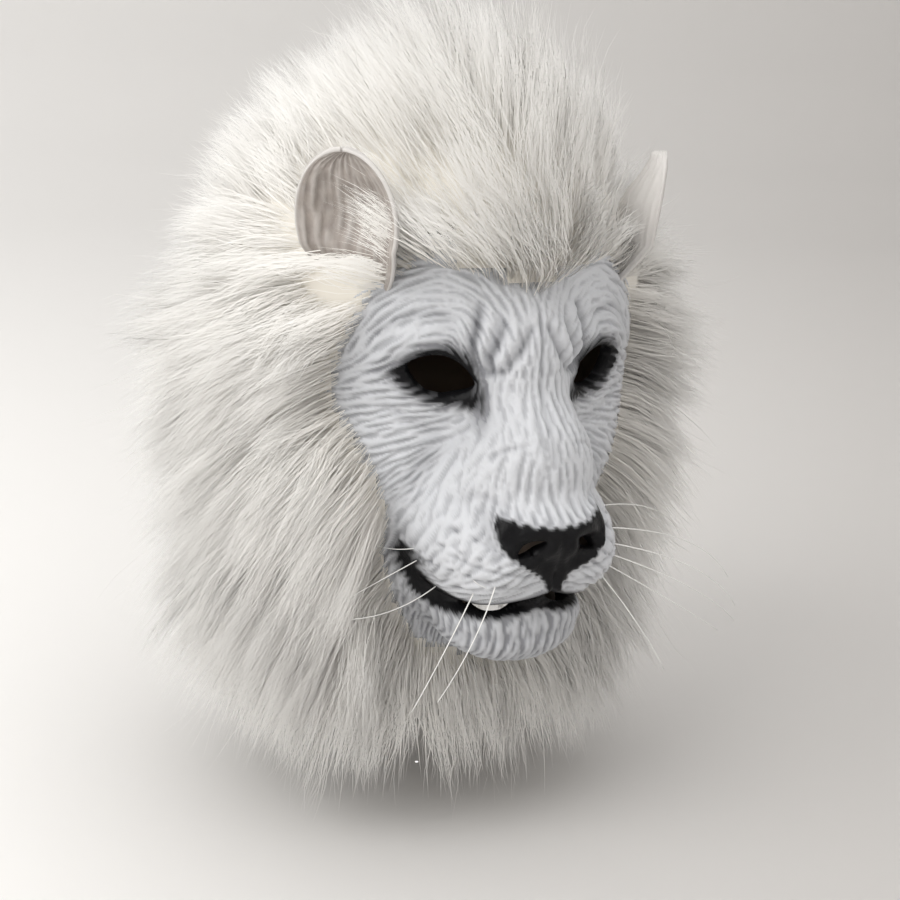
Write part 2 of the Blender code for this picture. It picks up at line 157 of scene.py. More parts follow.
class NodeSheet:
    """A material's node tree with short ways to add and join nodes."""

    def __init__(self, name: str) -> None:
        """Starts a material with one Principled shader."""
        self.material = bpy.data.materials.new(name)
        self.material.use_nodes = True
        self.tree = self.material.node_tree
        self.shader = self.tree.nodes["Principled BSDF"]

    def node(self, kind: str, **settings: object) -> bpy.types.Node:
        """Adds a node and sets its properties.

        Args:
            kind: Node type name.
            **settings: Properties to set.

        Returns:
            The new node.
        """
        made = self.tree.nodes.new(kind)
        for key, value in settings.items():
            setattr(made, key, value)
        return made

    def join(self, source: bpy.types.NodeSocket, target: bpy.types.NodeSocket) -> None:
        """Links an output to an input."""
        self.tree.links.new(source, target)

    def attribute(self, name: str) -> bpy.types.NodeSocket:
        """Reads a number kept on the piece."""
        return self.node("ShaderNodeAttribute", attribute_name=name).outputs["Fac"]

    def noise(self, scale: float, detail: float) -> bpy.types.NodeSocket:
        """A cloudy value over the piece's own space.

        Args:
            scale: Features per metre.
            detail: How many finer layers it has.

        Returns:
            The value.
        """
        cloud = self.node("ShaderNodeTexNoise")
        cloud.inputs["Scale"].default_value = scale
        cloud.inputs["Detail"].default_value = detail
        self.join(self.node("ShaderNodeTexCoord").outputs["Object"], cloud.inputs["Vector"])
        return cloud.outputs["Fac"]

    def ramp(self, value: bpy.types.NodeSocket, low: float, high: float, low_out: float = 0.0,
             high_out: float = 1.0) -> bpy.types.NodeSocket:
        """Maps a value from one span to another.

        Args:
            value: What to map.
            low: Where the span starts.
            high: Where the span ends.
            low_out: Result at the start.
            high_out: Result at the end.

        Returns:
            The mapped value.
        """
        span = self.node("ShaderNodeMapRange")
        for key, number in (("From Min", low), ("From Max", high), ("To Min", low_out), ("To Max", high_out)):
            span.inputs[key].default_value = number
        self.join(value, span.inputs["Value"])
        return span.outputs["Result"]

    def math(self, operation: str, first: bpy.types.NodeSocket, second: object) -> bpy.types.NodeSocket:
        """Combines two values, the second a number or a socket."""
        made = self.node("ShaderNodeMath", operation=operation)
        self.join(first, made.inputs[0])
        if isinstance(second, float):
            made.inputs[1].default_value = second
        else:
            self.join(second, made.inputs[1])
        return made.outputs[0]

    def blend(self, share: bpy.types.NodeSocket, first: object, second: object) -> bpy.types.NodeSocket:
        """Mixes two colours, each a colour or a socket.

        Args:
            share: How much of the second shows.
            first: Colour at share 0.
            second: Colour at share 1.

        Returns:
            The mixed colour.
        """
        mix = self.node("ShaderNodeMix", data_type="RGBA")
        self.join(share, mix.inputs[0])
        for slot, colour in ((6, first), (7, second)):
            if isinstance(colour, tuple):
                mix.inputs[slot].default_value = (*colour, 1)
            else:
                self.join(colour, mix.inputs[slot])
        return mix.outputs[2]

    def paint(self, share: bpy.types.NodeSocket, first: object, second: object) -> None:
        """Gives the shader a mix of two colours as its base colour."""
        self.join(self.blend(share, first, second), self.shader.inputs["Base Color"])

    def bump(self, height: bpy.types.NodeSocket, distance: float, strength: float) -> None:
        """Raises the surface by a value.

        Args:
            height: Height value.
            distance: Height of the value one, in metres.
            strength: Share of it that shows.
        """
        relief = self.node("ShaderNodeBump")
        relief.inputs["Distance"].default_value = distance
        relief.inputs["Strength"].default_value = strength
        self.join(height, relief.inputs["Height"])
        self.join(relief.outputs["Normal"], self.shader.inputs["Normal"])


# Finishes


@dataclass(frozen=True)
class FacePaint:
    """Matte white paint over latex, black round the openings, and grey in the carved grooves that is partly airbrushed
    paint and partly painted shade in the grooves, creases, whisker pits and under the chin.
    """

    white: tuple[float, float, float] = (0.635, 0.65, 0.68)
    # Grey for the airbrushed paint and for the painted shade in grooves, creases, pits and under the chin
    groove: tuple[float, float, float] = (0.26, 0.265, 0.285)
    black: tuple[float, float, float] = (0.007, 0.007, 0.008)
    roughness: float = 0.50
    gloss_roughness: float = 0.30
    specular: float = 0.12
    mottled: float = 0.93

    def material(self) -> bpy.types.Material:
        """Builds the paint's material."""
        sheet = NodeSheet("face_paint")
        mottle = sheet.ramp(sheet.noise(90, 4), 0.35, 0.70, 0.0, 0.25)
        white = sheet.blend(mottle, self.white, tuple(self.mottled * part for part in self.white))
        # Mixes in the grey paint and the painted shade that the groove attribute holds
        grey_paint_and_shade = sheet.blend(sheet.attribute("groove"), white, self.groove)
        sheet.paint(sheet.attribute("black"), grey_paint_and_shade, self.black)
        gloss = sheet.ramp(sheet.attribute("gloss"), 0, 1, self.roughness, self.gloss_roughness)
        sheet.join(gloss, sheet.shader.inputs["Roughness"])
        sheet.shader.inputs["Specular IOR Level"].default_value = self.specular
        sheet.bump(sheet.noise(700, 4), 0.0005, 0.5)
        return sheet.material


@dataclass(frozen=True)
class LatexAndHollowShade:
    """The hood's latex, coloured dark brown: partly the latex's own colour and partly painted shade for the dim hollow
    seen through the openings.
    """

    # Far darker than latex's own tan: painted shade for the hollow behind the eye holes, nostrils and mouth
    colour: tuple[float, float, float] = (0.11, 0.075, 0.05)
    roughness: float = 0.6
    clouded: float = 0.7

    def material(self) -> bpy.types.Material:
        """Builds the hood's material, latex darkened by painted shade."""
        sheet = NodeSheet("latex_and_hollow_shade")
        cloud = sheet.ramp(sheet.noise(30, 4), 0.3, 0.7)
        sheet.paint(cloud, self.colour, tuple(self.clouded * part for part in self.colour))
        sheet.shader.inputs["Roughness"].default_value = self.roughness
        sheet.bump(sheet.noise(260, 3), 0.0006, 0.4)
        return sheet.material


@dataclass(frozen=True)
class EarPaint:
    """Grey-brown inside with carved strokes, and a white rim and back."""

    inside: tuple[float, float, float] = (0.42, 0.375, 0.345)
    rim: tuple[float, float, float] = (0.66, 0.64, 0.62)
    roughness: float = 0.6
    mottled: float = 0.72

    def material(self) -> bpy.types.Material:
        """Builds the ear's material."""
        sheet = NodeSheet("ear_paint")
        mottle = sheet.ramp(sheet.noise(160, 5), 0.3, 0.7)
        inside = sheet.blend(mottle, self.inside, tuple(self.mottled * part for part in self.inside))
        sheet.paint(sheet.attribute("white"), inside, self.rim)
        sheet.shader.inputs["Roughness"].default_value = self.roughness
        sheet.bump(sheet.noise(1000, 3), 0.0004, 0.4)
        return sheet.material


@dataclass(frozen=True)
class FurPile:
    """Long ivory-white pile, warmer and darker at the root, which is painted shade deep in the pile."""

    name: str = "mane_pile"
    tip: tuple[float, float, float] = (0.965, 0.955, 0.93)
    root: tuple[float, float, float] = (0.93, 0.89, 0.82)
    roughness: float = 0.55
    specular: float = 0.25
    sheen: float = 0.5

    def material(self) -> bpy.types.Material:
        """Builds the pile's material."""
        sheet = NodeSheet(self.name)
        sheet.paint(sheet.attribute("tone"), self.root, self.tip)
        sheet.shader.inputs["Roughness"].default_value = self.roughness
        sheet.shader.inputs["Specular IOR Level"].default_value = self.specular
        sheet.shader.inputs["Sheen Weight"].default_value = self.sheen
        return sheet.material


@dataclass(frozen=True)
class Bristle:
    """Clear white nylon of the whiskers."""

    colour: tuple[float, float, float] = (0.92, 0.92, 0.90)
    clouded: tuple[float, float, float] = (0.8, 0.8, 0.78)
    roughness: float = 0.25

    def material(self) -> bpy.types.Material:
        """Builds the nylon material."""
        sheet = NodeSheet("whisker_nylon")
        sheet.paint(sheet.ramp(sheet.noise(60, 2), 0.3, 0.7), self.colour, self.clouded)
        sheet.shader.inputs["Roughness"].default_value = self.roughness
        return sheet.material


# The head's form, which the face, the hood, the ears and the fur all follow


@dataclass(frozen=True)
class Swelling:
    """One rounded form of the head, in shares of the face's width, the muzzle's reach and the chin's depth."""

    name: str
    paired: bool
    across: float
    forward: float
    down: float
    half_width: float
    half_reach: float
    half_height: float
    pitch: float
    blend: float


SWELLINGS = (
    Swelling("forehead", False, 0.00, 0.28, 0.39, 0.46, 0.45, 0.28, 0, 0.16),
    Swelling("temple", True, 0.26, 0.26, 0.44, 0.22, 0.28, 0.20, 0, 0.14),
    Swelling("brow", True, 0.20, 0.58, 0.38, 0.15, 0.14, 0.062, 12, 0.08),
    Swelling("cheek", True, 0.27, 0.34, 0.62, 0.20, 0.32, 0.17, 0, 0.14),
    Swelling("bridge upper", False, 0.00, 0.650, 0.47, 0.150, 0.22, 0.17, 20, 0.08),
    Swelling("bridge lower", False, 0.00, 0.755, 0.62, 0.210, 0.24, 0.14, 22, 0.08),
    Swelling("nose", False, 0.00, 0.91, 0.705, 0.175, 0.17, 0.062, 10, 0.05),
    Swelling("flew", True, 0.125, 0.745, 0.765, 0.155, 0.29, 0.090, 0, 0.05),
    Swelling("lip middle", False, 0.00, 0.88, 0.775, 0.10, 0.15, 0.075, 0, 0.06),
    Swelling("muzzle core", False, 0.00, 0.60, 0.73, 0.29, 0.36, 0.12, 0, 0.10),
    Swelling("chin", False, 0.00, 0.72, 0.910, 0.215, 0.22, 0.078, 0, 0.05),
    Swelling("jaw", False, 0.00, 0.28, 0.84, 0.34, 0.46, 0.15, 0, 0.12),
)


def blended_min(first: Array, second: Array, blend: float) -> Array:
    """The lesser of two fields, rounded where they meet.

    Args:
        first: One field.
        second: The other field.
        blend: Width of the rounding, in metres.

    Returns:
        The joined field.
    """
    mix = np.maximum(blend - np.abs(first - second), 0.0) / blend
    return np.minimum(first, second) - mix * mix * blend / 4


def ellipsoid(points: Array, centre: tuple[float, ...], radii: tuple[float, ...], pitch: float = 0.0) -> Array:
    """A field that is zero on an ellipsoid and negative inside it.

    Args:
        points: Where to evaluate it.
        centre: The ellipsoid's middle.
        radii: Its half sizes.
        pitch: Its turn about X, in radians.

    Returns:
        The field at each point.
    """
    turn = np.array(Matrix.Rotation(-pitch, 3, "X"))
    local = (points - np.array(centre)) @ turn.T / np.array(radii)
    length = np.linalg.norm(local, axis=-1)
    slope = np.linalg.norm(local / np.array(radii), axis=-1)
    return length * (length - 1) / np.maximum(slope, 1e-9)


@dataclass
class HeadForm:
    """The hood's outer surface as a field, and rays that sample it."""

    wall: float = 0.0020
    head_width: float = 0.184
    head_length: float = 0.208
    cranium_height: float = 0.194
    neck_width: float = 0.160
    neck_length: float = 0.172
    neck_blend: float = 0.030
    neck_top: float = 0.116
    rim_depth: float = 0.276
    face_width: float = 0.156
    muzzle_reach: float = 0.132
    chin_depth: float = 0.252
    sampling_radius: float = 0.100
    crown_centre: float = 0.36
    ray_table: Array = field(default_factory=lambda: np.array((
        (0.360, 0.100), (0.370, 0.250), (0.385, 0.300), (0.400, 0.345), (0.415, 0.385), (0.430, 0.420),
        (0.445, 0.455), (0.460, 0.490), (0.475, 0.525), (0.490, 0.560), (0.505, 0.595),
        (0.520, 0.630), (0.535, 0.665), (0.550, 0.697), (0.565, 0.728), (0.580, 0.758),
        (0.595, 0.788), (0.612, 0.820), (0.632, 0.852), (0.656, 0.884), (0.690, 0.916),
        (0.740, 0.945), (0.820, 0.968), (0.910, 0.984), (1.000, 1.000),
    )))

    def field(self, points: Array) -> Array:
        """The head's field, negative inside.

        Args:
            points: Where to evaluate it.

        Returns:
            The field at each point.
        """
        cranium = (self.head_width / 2, self.head_length / 2, self.cranium_height / 2)
        found = ellipsoid(points, (0, 0, self.wall - self.cranium_height / 2), cranium)
        neck_size = (self.neck_width / 2, self.neck_length / 2, self.rim_depth * 4)
        neck = ellipsoid(points, (0, (self.head_length - self.neck_length) / 2, -self.rim_depth), neck_size)
        neck = np.maximum(neck, points[..., 2] + self.neck_top)
        found = blended_min(found, neck, self.neck_blend)
        for form in SWELLINGS:
            size = (form.half_width * self.face_width, form.half_reach * self.muzzle_reach,
                    form.half_height * self.chin_depth)
            for side in (1, -1) if form.paired else (1,):
                middle = (side * form.across * self.face_width, -form.forward * self.muzzle_reach,
                          -form.down * self.chin_depth)
                swelling = ellipsoid(points, middle, size, math.radians(form.pitch))
                found = blended_min(found, swelling, form.blend * self.face_width)
        return found

    def cast(self, sources: Array, directions: Array, reach: float = 0.24) -> Array:
        """Where rays from inside the head leave it.

        Args:
            sources: Ray starts.
            directions: Unit directions.
            reach: Furthest distance tried.

        Returns:
            The outermost crossings.
        """
        steps = np.linspace(reach, 0.004, 56)
        near = np.zeros(len(sources))
        far = np.full(len(sources), steps[0])
        open_rays = np.arange(len(sources))
        for outer, inner in zip(steps[:-1], steps[1:]):
            inside = self.field(sources[open_rays] + directions[open_rays] * inner) < 0
            hit = open_rays[inside]
            near[hit] = inner
            far[hit] = outer
            open_rays = open_rays[~inside]
            if not len(open_rays):
                break
        for _ in range(16):
            middle = (near + far) / 2
            inside = self.field(sources + directions * middle[:, None]) < 0
            near = np.where(inside, middle, near)
            far = np.where(inside, far, middle)
        return sources + directions * near[:, None]

    def normals(self, points: Array) -> Array:
        """Outward directions of the surface.

        Args:
            points: Points on it.

        Returns:
            Unit vectors.
        """
        step = 0.0006
        slope = np.empty_like(points)
        for axis in range(3):
            shift = np.zeros(3)
            shift[axis] = step
            slope[:, axis] = self.field(points + shift) - self.field(points - shift)
        return unit(slope)

    def grid(self, azimuths: Array, levels: Array) -> Array:
        """Samples the surface on rows of rays.

        Args:
            azimuths: Angles round the axis from the face, in radians.
            levels: Rows of the ray table, whole or between.

        Returns:
            Points as rows of columns of three.
        """
        rows = np.arange(len(self.ray_table))
        axis_depth = np.interp(levels, rows, self.ray_table[:, 0]) * self.rim_depth
        outer_depth = np.interp(levels, rows, self.ray_table[:, 1]) * self.rim_depth
        directions = np.empty((len(levels), len(azimuths), 3))
        directions[..., 0] = np.sin(azimuths) * self.sampling_radius
        directions[..., 1] = -np.cos(azimuths) * self.sampling_radius
        directions[..., 2] = (axis_depth - outer_depth)[:, None]
        sources = np.zeros_like(directions)
        sources[..., 2] = -axis_depth[:, None]
        hits = self.cast(sources.reshape(-1, 3), unit(directions).reshape(-1, 3))
        return hits.reshape(directions.shape)

    def front(self, across: float, depth: float) -> Array:
        """Where a line along Y, at an X and a depth below the crown, meets the front of the head."""
        return self.cast(np.array([[across, 0.0, -depth]]), np.array([[0.0, -1.0, 0.0]]))[0]

    def dome(self, columns: int) -> tuple[Array, Array, Array]:
        """The whole hood as a closed-topped grid.

        Args:
            columns: Points round each row.

        Returns:
            Points with the crown's first, quads and the crown's triangles.
        """
        across = np.arange(columns) / columns * 2 - 1
        azimuths = math.pi * (0.6 * across + 0.4 * across**3)
        ahead = np.stack([np.sin(azimuths), -np.cos(azimuths), np.zeros(columns)], axis=1)
        centre = np.array([0, 0, -self.crown_centre * self.rim_depth])
        rows = [self.cast(centre[None], np.array([[0, 0, 1.0]]))]
        for degrees in (84, 76, 68, 60, 52, 44):
            rise = math.radians(degrees)
            aim = ahead * math.cos(rise) + np.array([0, 0, math.sin(rise)])
            rows.append(self.cast(np.tile(centre, (columns, 1)), aim))
        levels = np.linspace(0, len(self.ray_table) - 1, 2 * len(self.ray_table) - 1)
        rows.append(self.grid(azimuths, levels).reshape(-1, 3))
        points = np.vstack(rows)
        row_count = (len(points) - 1) // columns
        quads = ring_quads(row_count, columns) + 1
        column = np.arange(columns)
        fan = np.stack([np.zeros(columns, int), 1 + column, 1 + (column + 1) % columns], axis=1)
        return points, quads, fan


def ring_quads(rows: int, columns: int, closed: bool = True) -> Array:
    """Quads between rows of points.

    Args:
        rows: Number of rows.
        columns: Points in each row.
        closed: Whether each row closes on itself.

    Returns:
        Rows of four point numbers, facing out where columns run to the right and rows run down.
    """
    spans = columns if closed else columns - 1
    row, column = np.meshgrid(np.arange(rows - 1), np.arange(spans), indexing="ij")
    beside = (column + 1) % columns
    quads = [row * columns + column, (row + 1) * columns + column, (row + 1) * columns + beside, row * columns + beside]
    return np.stack(quads, axis=-1).reshape(-1, 4)


# Openings through the latex


def outline_distance(points: Array, outline: Array) -> tuple[Array, Array]:
    """How far points lie from a closed outline.

    Args:
        points: Rows of two numbers.
        outline: The outline's corners in order.

    Returns:
        Distances, negative inside, and the nearest points of the outline.
    """
    ends = np.roll(outline, -1, axis=0)
    edges = ends - outline
    offsets = points[:, None] - outline
    share = np.clip((offsets * edges).sum(-1) / np.maximum((edges**2).sum(-1), 1e-16), 0, 1)
    nearest = outline + share[..., None] * edges
    gaps = np.linalg.norm(points[:, None] - nearest, axis=-1)
    best = gaps.argmin(axis=1)
    row = np.arange(len(points))
    rises = (outline[:, 1] > points[:, None, 1]) != (ends[:, 1] > points[:, None, 1])
    height = np.where(edges[:, 1] == 0, 1e-12, edges[:, 1])
    crossing = outline[:, 0] + (points[:, None, 1] - outline[:, 1]) / height * edges[:, 0]
    inside = (rises & (points[:, None, 0] < crossing)).sum(axis=1) % 2 == 1
    return np.where(inside, -1, 1) * gaps[row, best], nearest[row, best]


def line_distance(points: Array, line: Array) -> tuple[Array, Array]:
    """How far points lie from an open line.

    Args:
        points: Rows of two numbers.
        line: The line's points in order.

    Returns:
        Distances, and how far along the line each nearest point is, from 0 to 1.
    """
    edges = np.diff(line, axis=0)
    offsets = points[:, None] - line[:-1]
    share = np.clip((offsets * edges).sum(-1) / np.maximum((edges**2).sum(-1), 1e-16), 0, 1)
    gaps = np.linalg.norm(offsets - share[..., None] * edges, axis=-1)
    best = gaps.argmin(axis=1)
    row = np.arange(len(points))
    return gaps[row, best], (best + share[row, best]) / len(edges)


def almond(width: float, height: float, count: int) -> Array:
    """A lens with pointed ends, as rows of across and up."""
    turns = np.arange(count) / count * 2 * math.pi
    rise = np.sin(turns) ** 3 * 0.35 + np.sin(turns) * 0.65
    return np.stack([width / 2 * np.cos(turns), height / 2 * rise], axis=1)


@dataclass
class Opening:
    """A hole through the latex, as an outline in a plane across its own axis."""

    name: str
    outline: Array
    centre: Array
    turn: Array

    def local(self, points: Array) -> Array:
        """Places of points across, along and up the opening."""
        return (points - self.centre) @ self.turn

    def distance(self, points: Array, near: float = 0.014, depth: float = 0.05) -> tuple[Array, Array]:
        """How far points are from the edge, measured across the opening.

        Args:
            points: Points on the latex.
            near: Beyond this distance no exact figure is needed.
            depth: How far along the axis the opening reaches.

        Returns:
            Distances, negative inside, and the nearest places on the outline.
        """
        place = self.local(points)
        flat = place[:, [0, 2]]
        low = self.outline.min(axis=0) - near
        high = self.outline.max(axis=0) + near
        close = (flat > low).all(axis=1) & (flat < high).all(axis=1) & (np.abs(place[:, 1]) < depth)
        gaps = np.full(len(points), 1.0)
        nearest = np.zeros((len(points), 2))
        gaps[close], nearest[close] = outline_distance(flat[close], self.outline)
        return gaps, nearest

    def fit(self, form: HeadForm, points: Array, spacing: Array) -> Array:
        """Moves the points beside the edge onto it, so that the hole is cut clean.

        Args:
            form: Surface to stay on.
            points: Points of the sheet.
            spacing: Distance between neighbours at each point.

        Returns:
            The moved points.
        """
        gaps, nearest = self.distance(points)
        beside = np.abs(gaps) < 0.56 * spacing
        place = self.local(points[beside])
        place[:, 0] = nearest[beside, 0]
        place[:, 2] = nearest[beside, 1]
        moved = place @ self.turn.T + self.centre
        axis = self.turn[:, 1]
        for _ in range(5):
            step = 0.0004
            value = form.field(moved)
            slope = (form.field(moved + axis * step) - value) / step
            slope = np.where(np.abs(slope) < 0.2, np.sign(slope + 1e-9) * 0.2, slope)
            moved = moved - axis * np.clip(value / slope, -0.004, 0.004)[:, None]
        points = points.copy()
        points[beside] = moved
        return points


@dataclass
class FaceOpenings:
    """The eye holes, the nostrils and the parted lips."""

    form: HeadForm
    margin: float = 0.0
    eye_depth: float = 0.115
    eye_spacing: float = 0.078
    eye_width: float = 0.031
    eye_height: float = 0.019
    eye_slant: float = math.radians(14)
    splay: float = math.radians(24)
    nostril_depth: float = 0.1825
    nostril_spacing: float = 0.027
    nostril_width: float = 0.014
    nostril_height: float = 0.0070
    nostril_slant: float = math.radians(28)
    mouth_depth: float = 0.2085
    mouth_width: float = 0.060
    mouth_gap: float = 0.0056
    mouth_curve: float = 0.009

    def slot_line(self, share: Array) -> Array:
        """Depth of the lips' parting at shares from -1 to 1 of its half width."""
        return self.mouth_depth + self.mouth_curve * (1 - (1 - np.abs(share)) ** 2)

    def build(self) -> list[Opening]:
        """Makes every opening.

        Returns:
            Eye holes, nostrils and mouth.
        """
        made = []
        for side in (1, -1):
            for name, width, height, slant, across, depth in (
                ("eye", self.eye_width, self.eye_height, -side * self.eye_slant, self.eye_spacing / 2, self.eye_depth),
                ("nostril", self.nostril_width, self.nostril_height, side * self.nostril_slant,
                 self.nostril_spacing / 2, self.nostril_depth),
            ):
                turn = Matrix.Rotation(side * self.splay, 3, "Z") @ Matrix.Rotation(slant, 3, "Y")
                centre = self.form.front(side * across, depth)
                outline = almond(width + 2 * self.margin, height + 2 * self.margin, 56)
                made.append(Opening(name, outline, centre, np.array(turn)))
        share = np.linspace(-1, 1, 41)
        half_gap = self.mouth_gap / 2 * np.sqrt(np.maximum(1 - share**2, 0.02)) + self.margin
        middle = -self.slot_line(share)
        upper = np.stack([share * self.mouth_width / 2, middle + half_gap], axis=1)
        lower = np.stack([share * self.mouth_width / 2, middle - half_gap], axis=1)
        slot = np.vstack([upper, lower[::-1]])
        made.append(Opening("mouth", slot, np.array([0, -self.form.muzzle_reach * 0.9, 0]), np.eye(3)))
        return made


@dataclass
class Sheet:
    """A grid of latex with clean holes."""

    rows: int
    columns: int
    points: Array
    closed: bool = False
    within: float = -2e-5

    def spacing(self) -> Array:
        """Distance between neighbours at each point."""
        grid = self.points.reshape(self.rows, self.columns, 3)
        down = np.linalg.norm(np.diff(grid, axis=0, append=grid[-2:-1]), axis=-1)
        along = np.linalg.norm(np.diff(grid, axis=1, append=grid[:, -2:-1]), axis=-1)
        return np.maximum(down, along).ravel()

    def faces(self, openings: list[Opening]) -> tuple[Array, Array]:
        """The grid's faces without those inside an opening.

        Args:
            openings: Holes whose edges already run through the points.

        Returns:
            Quads and triangles.
        """
        quads = ring_quads(self.rows, self.columns, self.closed)
        kept_quads, corners = quads, [np.empty((0, 3), int)]
        for opening in openings:
            gaps = opening.distance(self.points)[0]
            inside = (gaps < self.within)[kept_quads]
            middle = opening.distance(self.points[kept_quads].mean(axis=1))[0] < self.within
            count = inside.sum(axis=1)
            single = kept_quads[count == 1]
            lone = inside[count == 1].argmax(axis=1)
            rest = np.stack([np.take_along_axis(single, (lone[:, None] + step) % 4, 1)[:, 0] for step in (1, 2, 3)], 1)
            hollow = opening.distance(self.points[rest].mean(axis=1))[0] < self.within
            corners.append(rest[~hollow])
            kept_quads = kept_quads[(count == 0) & ~middle]
        return kept_quads, np.vstack(corners)


def border_edges(quads: Array, triangles: Array) -> Array:
    """Edges that only one face uses, in that face's order.

    Args:
        quads: Faces of four corners.
        triangles: Faces of three corners.

    Returns:
        Rows of two point numbers.
    """
    sides = [faces[:, [i, (i + 1) % size]] for faces, size in ((quads, 4), (triangles, 3)) for i in range(size)]
    edges = np.vstack(sides)
    sorted_edges = np.sort(edges, axis=1)
    _, index, counts = np.unique(sorted_edges, axis=0, return_index=True, return_counts=True)
    return edges[index[counts == 1]]


def shell_mesh(name: str, outside: Array, inside: Array, quads: Array, triangles: Array) -> bpy.types.Object:
    """Joins two matching sheets into one thin closed shell.

    Args:
        name: Object name.
        outside: Points of the outer sheet.
        inside: Points of the inner sheet, in the same order.
        quads: Faces of four corners.
        triangles: Faces of three corners.

    Returns:
        The new object.
    """
    edges = border_edges(quads, triangles)
    count = len(outside)
    band = np.stack([edges[:, 1], edges[:, 0], edges[:, 0] + count, edges[:, 1] + count], axis=1)
    return array_mesh(name, np.vstack([outside, inside]), np.vstack([quads, quads[:, ::-1] + count, band]),
                      np.vstack([triangles, triangles[:, ::-1] + count]))


def turned_edge(points: Array, inward: Array, edges: Array) -> tuple[Array, Array]:
    """Turns border edges inwards as a narrow band.

    Args:
        points: Points of the sheet.
        inward: Where the far edge of the band lies from each point.
        edges: Border edges.

    Returns:
        The new points and the band's quads, numbered after the old points.
    """
    used, index = np.unique(edges, return_inverse=True)
    index = index.reshape(edges.shape) + len(points)
    band = np.stack([edges[:, 1], edges[:, 0], index[:, 0], index[:, 1]], axis=1)
    return points[used] + inward[used], band


# The fur's edge round the face


WINDOW_OUTLINE = (
    (0.00, 0.07), (0.30, 0.03), (0.60, 0.00), (0.85, 0.08), (0.98, 0.21), (1.00, 0.32),
    (0.84, 0.45), (0.72, 0.59), (0.68, 0.70), (0.60, 0.83), (0.42, 0.95), (0.00, 1.00),
)


@dataclass
class Window:
    """The opening in the fur that the face looks out of."""

    top: float = 0.066
    bottom: float = 0.258
    width: float = 0.150
    back: float = 0.030

    def gap(self, points: Array) -> Array:
        """Distance from the fur's edge, negative on the bare face.

        Args:
            points: Points of the head.

        Returns:
            Distances, at least 20 mm behind the front.
        """
        half = np.array(WINDOW_OUTLINE) * (self.width / 2, self.top - self.bottom) - (0, self.top)
        outline = np.vstack([half, half[-2:0:-1] * (-1, 1)])
        gaps = outline_distance(points[:, [0, 2]], outline)[0]
        return np.where(points[:, 1] < -self.back, gaps, np.maximum(gaps, 0.02))


# The carved and painted face


@dataclass(frozen=True)
class ToolMark:
    """A crease or a fold modelled along a line of the face, in millimetres across and down."""

    name: str
    line: tuple[tuple[float, float], ...]
    height: float
    width: float
    shade: float = 0.0


MARKS = (
    ToolMark("first frown furrow", ((23.5, 84), (25, 91), (27, 101), (25.5, 110)), -2.8, 2.0, 0.75),
    ToolMark("second frown furrow", ((15, 91), (17.8, 99), (20.5, 106), (20, 112)), -2.7, 1.9, 0.7),
    ToolMark("third frown furrow", ((4, 92), (8.5, 100.5), (13.5, 108.5)), -2.2, 2.0, 0.6),
    ToolMark("outer frown fold", ((20, 87), (22.3, 97), (23.8, 105)), 2.6, 3.0),
    ToolMark("inner frown fold", ((10, 92), (14, 101), (17, 108)), 2.3, 2.8),
    ToolMark("brow end", ((29, 84), (31, 96)), 1.5, 4.5),
    ToolMark("fold under the frown", ((26, 110), (20, 113), (14.5, 111)), -1.6, 2.4, 0.6),
    ToolMark("brow groove", ((62, 97), (56, 91), (50, 87.8), (42, 87), (34, 89)), -1.3, 2.8, 0.35),
    ToolMark("upper lid fold", ((62, 109), (58, 103.5), (52, 99), (44, 97), (35, 97.5), (27, 102)), 1.7, 2.8),
    ToolMark("lower lid fold", ((58, 121), (48, 128.5), (38, 133), (28, 135.5)), 0.9, 2.8),
    ToolMark("groove below the lid", ((60, 128), (48, 136), (37, 141)), -0.8, 3.0, 0.25),
    ToolMark("tear groove", ((22.5, 118), (23, 128), (27, 137)), -1.6, 2.8, 0.6),
    ToolMark("muzzle border", ((25, 133), (34, 146), (42, 156), (51, 170)), -1.3, 5.5, 0.2),
    ToolMark("midline", ((0, 84), (0, 110), (0, 138), (0, 150)), -1.2, 1.6, 0.35),
    ToolMark("upper muzzle crease", ((25, 146), (19.5, 142), (13, 140.5)), -0.7, 1.2, 0.4),
    ToolMark("lower muzzle crease", ((35, 168), (28, 163.5), (21, 166)), -0.9, 2.2, 0.25),
    ToolMark("nose wing crease", ((27.5, 167), (29.5, 177), (27, 187)), -1.3, 2.6, 0.3),
    ToolMark("first lip crease", ((41, 189), (34, 191.5), (26, 193.2), (12, 196)), -0.8, 1.1, 0.45),
    ToolMark("second lip crease", ((36, 197), (25, 201), (11, 202)), -0.6, 1.1, 0.35),
    ToolMark("third lip crease", ((34, 179.5), (26, 184), (19, 189)), -0.5, 1.1, 0.3),
    ToolMark("upper lip roll",
             ((46, 195), (42, 206), (36, 211.5), (28, 213), (16, 210), (6, 205.5), (3, 203)), 1.0, 3.0),
    ToolMark("lip parting",
             ((48, 195), (45.5, 205), (41, 212), (34, 217), (27, 217), (14, 214), (0, 208.5)), -2.6, 2.6),
    ToolMark("lower lip roll", ((40, 221), (30, 225.5), (15, 223.5), (0, 219)), 1.1, 3.0),
    ToolMark("groove below the lip", ((34, 231.5), (16, 231), (0, 229)), -0.9, 2.8, 0.15),
    ToolMark("philtrum", ((0, 196), (0, 205)), -1.4, 1.6),
    ToolMark("nose pad edge", ((0, 173.5), (10, 173), (18, 172), (23.5, 169.5)), 1.1, 2.4),
    ToolMark("nostril wing", ((22.5, 173), (24.5, 180), (20, 188), (11, 192.5)), 1.5, 2.8),
    ToolMark("nostril floor", ((22, 179), (13, 184), (6, 189.5)), -1.5, 3.0),
    ToolMark("pad middle groove", ((0, 178), (0, 197)), -0.9, 1.8),
)

